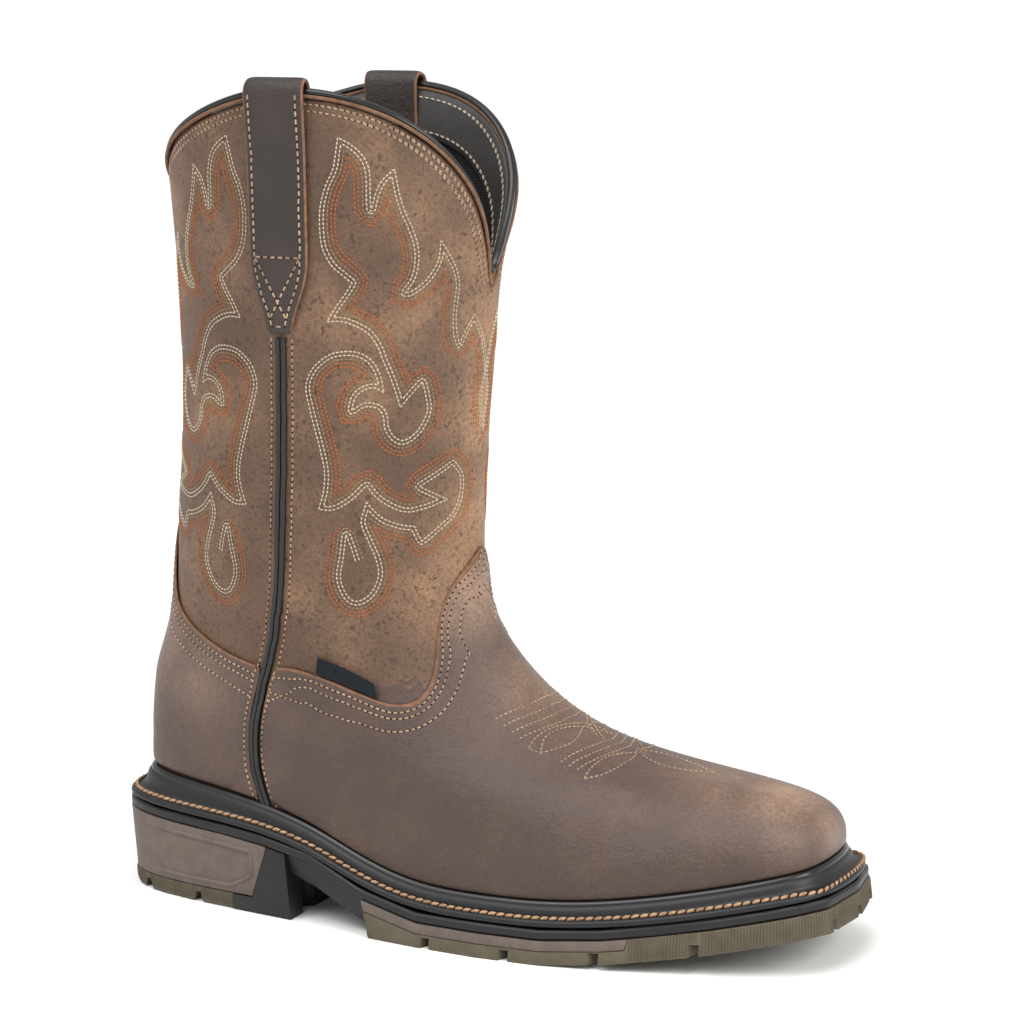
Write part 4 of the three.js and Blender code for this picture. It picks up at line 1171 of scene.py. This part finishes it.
def plate_rim(edge):
    """A closed line just inside the border of the heel's side plate."""
    upper, lower = [], []
    for start, push in zip(edge, outward(edge)):
        heights = np.arange(0.004, start[2], WALL_STEP)
        found = wall_hits(surfaces["heel_plate"], start, push, heights, 0.022)
        hits = [hit for hit, _ in found if hit is not None]
        if len(hits) > 14:
            lower.append(hits[0])
            upper.append(hits[-1])
    upper, lower = np.array(upper), np.array(lower)
    # The plate is open at the front, so its line starts after the widest gap.
    gaps = np.linalg.norm(np.diff(upper, axis=0), axis=1)
    turn = int(np.argmax(gaps)) + 1 if gaps.max() > 0.01 else 0
    upper, lower = np.roll(upper, -turn, 0), np.roll(lower, -turn, 0)
    fall = normalise(lower - upper)
    high = moving_average(upper + fall * RIM_TOP_INSET, 6, closed=False)
    low = moving_average(lower - fall * RIM_FOOT_INSET, 6, closed=False)
    far = np.linspace(high[-2], low[-2], 8)[1:-1]
    near = np.linspace(low[1], high[1], 8)[1:-1]
    return np.vstack([high[1:-1], far, low[1:-1][::-1], near])


def rib_mesh(edge, pitch):
    """Points and faces of upright ribs on the flat walls of the tread."""
    even = resample(edge, pitch, closed=True)[:-1]
    points, faces = [], []
    for node in ("outsole", "heel_lift"):
        for start, way, push in zip(even, loop_ways(even), outward(even)):
            hits = []
            heights = np.arange(0.0012, start[2] - 0.004, WALL_STEP)
            for hit, normal in wall_hits(surfaces[node], start, push, heights, 0.018):
                if hit is not None and abs(normal.dot(Vector(push))) > 0.85:
                    hits.append(hit)
                elif hits:
                    break
            if len(hits) < 4:
                continue
            lower, upper = np.array(hits[0]), np.array(hits[-1])
            base = len(points)
            for spot in (lower, (lower + upper) / 2, upper):
                points += [
                    spot - way * RIB_HALF_WIDTH - push * RIB_SINK,
                    spot + push * RIB_HEIGHT,
                    spot + way * RIB_HALF_WIDTH - push * RIB_SINK,
                    spot - push * RIB_BACK,
                ]
            for level in (0, 4):
                for k in range(4):
                    a, b = base + level + k, base + level + (k + 1) % 4
                    faces.append((a, b, b + 4, a + 4))
            faces.append((base + 3, base + 2, base + 1, base))
            faces.append((base + 8, base + 9, base + 10, base + 11))
    return points, faces


class BOOT_OT_sole(bpy.types.Operator):
    """Midsole, tread, heel and their inserts, with softened edges and fine ribs"""

    bl_idname = "boot.sole"
    bl_label = "Sole"

    def execute(self, context):
        parts = {
            "midsole": ("midsole_band", "black", "black_rubber", 0.0005),
            "outsole": ("tread_lugs", "olive", "olive_rubber", 0.0005),
            "heel_lift": ("heel_tread", "olive", "olive_rubber", 0.0005),
            "heel_core": ("heel_block", "black", "black_rubber", 0.0004),
            "heel_plate": ("heel_side_plate", "taupe", "taupe_rubber", 0.0005),
            "side_insert_lateral": ("insert_lateral", "taupe", "taupe_rubber", 0.0004),
            "side_insert_medial": ("insert_medial", "taupe", "taupe_rubber", 0.0004),
        }
        for node, (name, finish, slot, width) in parts.items():
            piece = merged_copy(node, name, quads=False)
            level_edges(piece)
            apply_modifier(
                piece, "BEVEL", width=width, segments=2, limit_method="ANGLE",
                angle_limit=math.radians(38), use_clamp_overlap=True,
            )
            finish_piece(piece, finishes[finish], slot, smooth=False)
            only(piece)
            bpy.ops.object.shade_smooth_by_angle(angle=math.radians(32))
            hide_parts(node)
            surfaces[node] = surface_of(piece)

        # Two fine mould lines round the midsole's wall.
        edge = outlines["welt"]
        for number, drop in enumerate(MOULD_LINE_DROPS, 1):
            line = edge - np.array([0, 0, drop])
            on, _ = settle(surfaces["midsole"], line, -outward(edge), 0.01)
            if len(on) > 50:
                round_tube(f"midsole_line_{number}", on, MOULD_LINE_RADIUS, finishes["black"],
                           "black_rubber", closed=True)

        round_tube("heel_plate_rim", plate_rim(edge), RIM_RADIUS, finishes["taupe"],
                   "taupe_rubber", closed=True)

        ribs = new_piece("tread_ribs", *rib_mesh(edge, context.scene.boot_sewing.rib_pitch))
        edit_all(ribs, (bpy.ops.mesh.normals_make_consistent, {"inside": False}))
        finish_piece(ribs, finishes["olive"], "olive_rubber", smooth=False)

        for node, finish in (("insole", "footbed"), ("side_tag", "tag")):
            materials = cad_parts[node].data.materials
            materials.clear()
            materials.append(finishes[finish])
        return {"FINISHED"}


def turn_to(holder, way):
    """Turns a lamp or camera to look along a direction."""
    holder.rotation_euler = way.to_track_quat("-Z", "Y").to_euler()


class BOOT_OT_stage(bpy.types.Operator):
    """Pale floor, soft studio light and the photograph's camera"""

    bl_idname = "boot.stage"
    bl_label = "Stage"

    def execute(self, context):
        bpy.ops.object.select_all(action="DESELECT")
        bpy.ops.mesh.primitive_plane_add(size=FLOOR_SIZE, location=(0, 0, -FLOOR_DROP))
        floor = context.active_object
        floor.name = "floor"
        floor.data.materials.append(finishes["floor"])

        scene = context.scene
        scene.view_settings.view_transform = "Standard"
        world = bpy.data.worlds.new("studio")
        world.use_nodes = True
        tree = world.node_tree
        tree.nodes.clear()
        # A studio wall: white at the horizon, dimmer above.
        way = add_node(tree, "ShaderNodeTexCoord").outputs["Generated"]
        height = add_node(tree, "ShaderNodeSeparateXYZ", {0: way}).outputs["Z"]
        strength = add_node(
            tree, "ShaderNodeMapRange", {0: height, 1: 0.02, 2: 0.25, 3: 1.08, 4: 0.68}
        ).outputs[0]
        sky = add_node(
            tree, "ShaderNodeBackground", {"Color": linear("#fbfbfc"), "Strength": strength}
        )
        add_node(tree, "ShaderNodeOutputWorld", {0: sky.outputs[0]})
        scene.world = world

        for name, (place, size, power) in SOFTBOXES.items():
            lamp = bpy.data.lights.new(name, "AREA")
            lamp.shape = "SQUARE"
            lamp.size = size
            lamp.energy = power
            holder = add_object(name, lamp)
            holder.location = place
            turn_to(holder, Vector(SOFTBOX_TARGET) - Vector(place))

        # One wide, high light that also whitens the far floor.
        sun = bpy.data.lights.new("overhead_light", "SUN")
        sun.energy = SUN_POWER
        sun.angle = math.radians(SUN_ANGLE)
        turn_to(add_object("overhead_light", sun), Vector(SUN_WAY))

        turn, rise = math.radians(CAMERA_TURN), math.radians(CAMERA_RISE)
        back = Vector(
            (math.sin(turn) * math.cos(rise), -math.cos(turn) * math.cos(rise), math.sin(rise))
        )
        right = Vector((math.cos(turn), math.sin(turn), 0))
        target = Vector(CAMERA_TARGET)
        camera = add_object("camera", bpy.data.cameras.new("camera"))
        camera.location = target + back * CAMERA_DISTANCE
        aim = target + right * CAMERA_RIGHT + back.cross(right) * CAMERA_UP
        turn_to(camera, aim - camera.location)
        camera.data.sensor_width = CAMERA_SENSOR
        camera.data.lens = CAMERA_LENS
        scene.camera = camera
        return {"FINISHED"}


class BOOT_PT_panel(bpy.types.Panel):
    """Shows the boot's settings and a button for each operator"""

    bl_label = "Western Work Boot"
    bl_idname = "BOOT_PT_panel"
    bl_space_type = "VIEW_3D"
    bl_region_type = "UI"
    bl_category = "Boot"

    def draw(self, context):
        for settings in (context.scene.boot_sewing, context.scene.boot_colours):
            for key in settings.__annotations__:
                self.layout.prop(settings, key)
        for operator in OPERATORS:
            self.layout.operator(operator.bl_idname)


SETTINGS = (BootSewing, BootColours)
OPERATORS = (
    BOOT_OT_upper, BOOT_OT_trim, BOOT_OT_straps, BOOT_OT_seams, BOOT_OT_flames,
    BOOT_OT_toe_stitch, BOOT_OT_welt, BOOT_OT_sole, BOOT_OT_stage,
)


def register():
    """Adds the add-on's classes and settings."""
    for item in (*SETTINGS, *OPERATORS, BOOT_PT_panel):
        bpy.utils.register_class(item)
    bpy.types.Scene.boot_sewing = bpy.props.PointerProperty(type=BootSewing)
    bpy.types.Scene.boot_colours = bpy.props.PointerProperty(type=BootColours)


def unregister():
    """Takes them away again."""
    del bpy.types.Scene.boot_colours
    del bpy.types.Scene.boot_sewing
    for item in reversed((*SETTINGS, *OPERATORS, BOOT_PT_panel)):
        bpy.utils.unregister_class(item)


def main():
    """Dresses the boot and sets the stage."""
    register()
    bpy.ops.boot.upper()
    bpy.ops.boot.trim()
    bpy.ops.boot.straps()
    bpy.ops.boot.seams()
    bpy.ops.boot.flames()
    bpy.ops.boot.toe_stitch()
    bpy.ops.boot.welt()
    bpy.ops.boot.sole()
    bpy.ops.boot.stage()


if __name__ == "__main__":
    main()
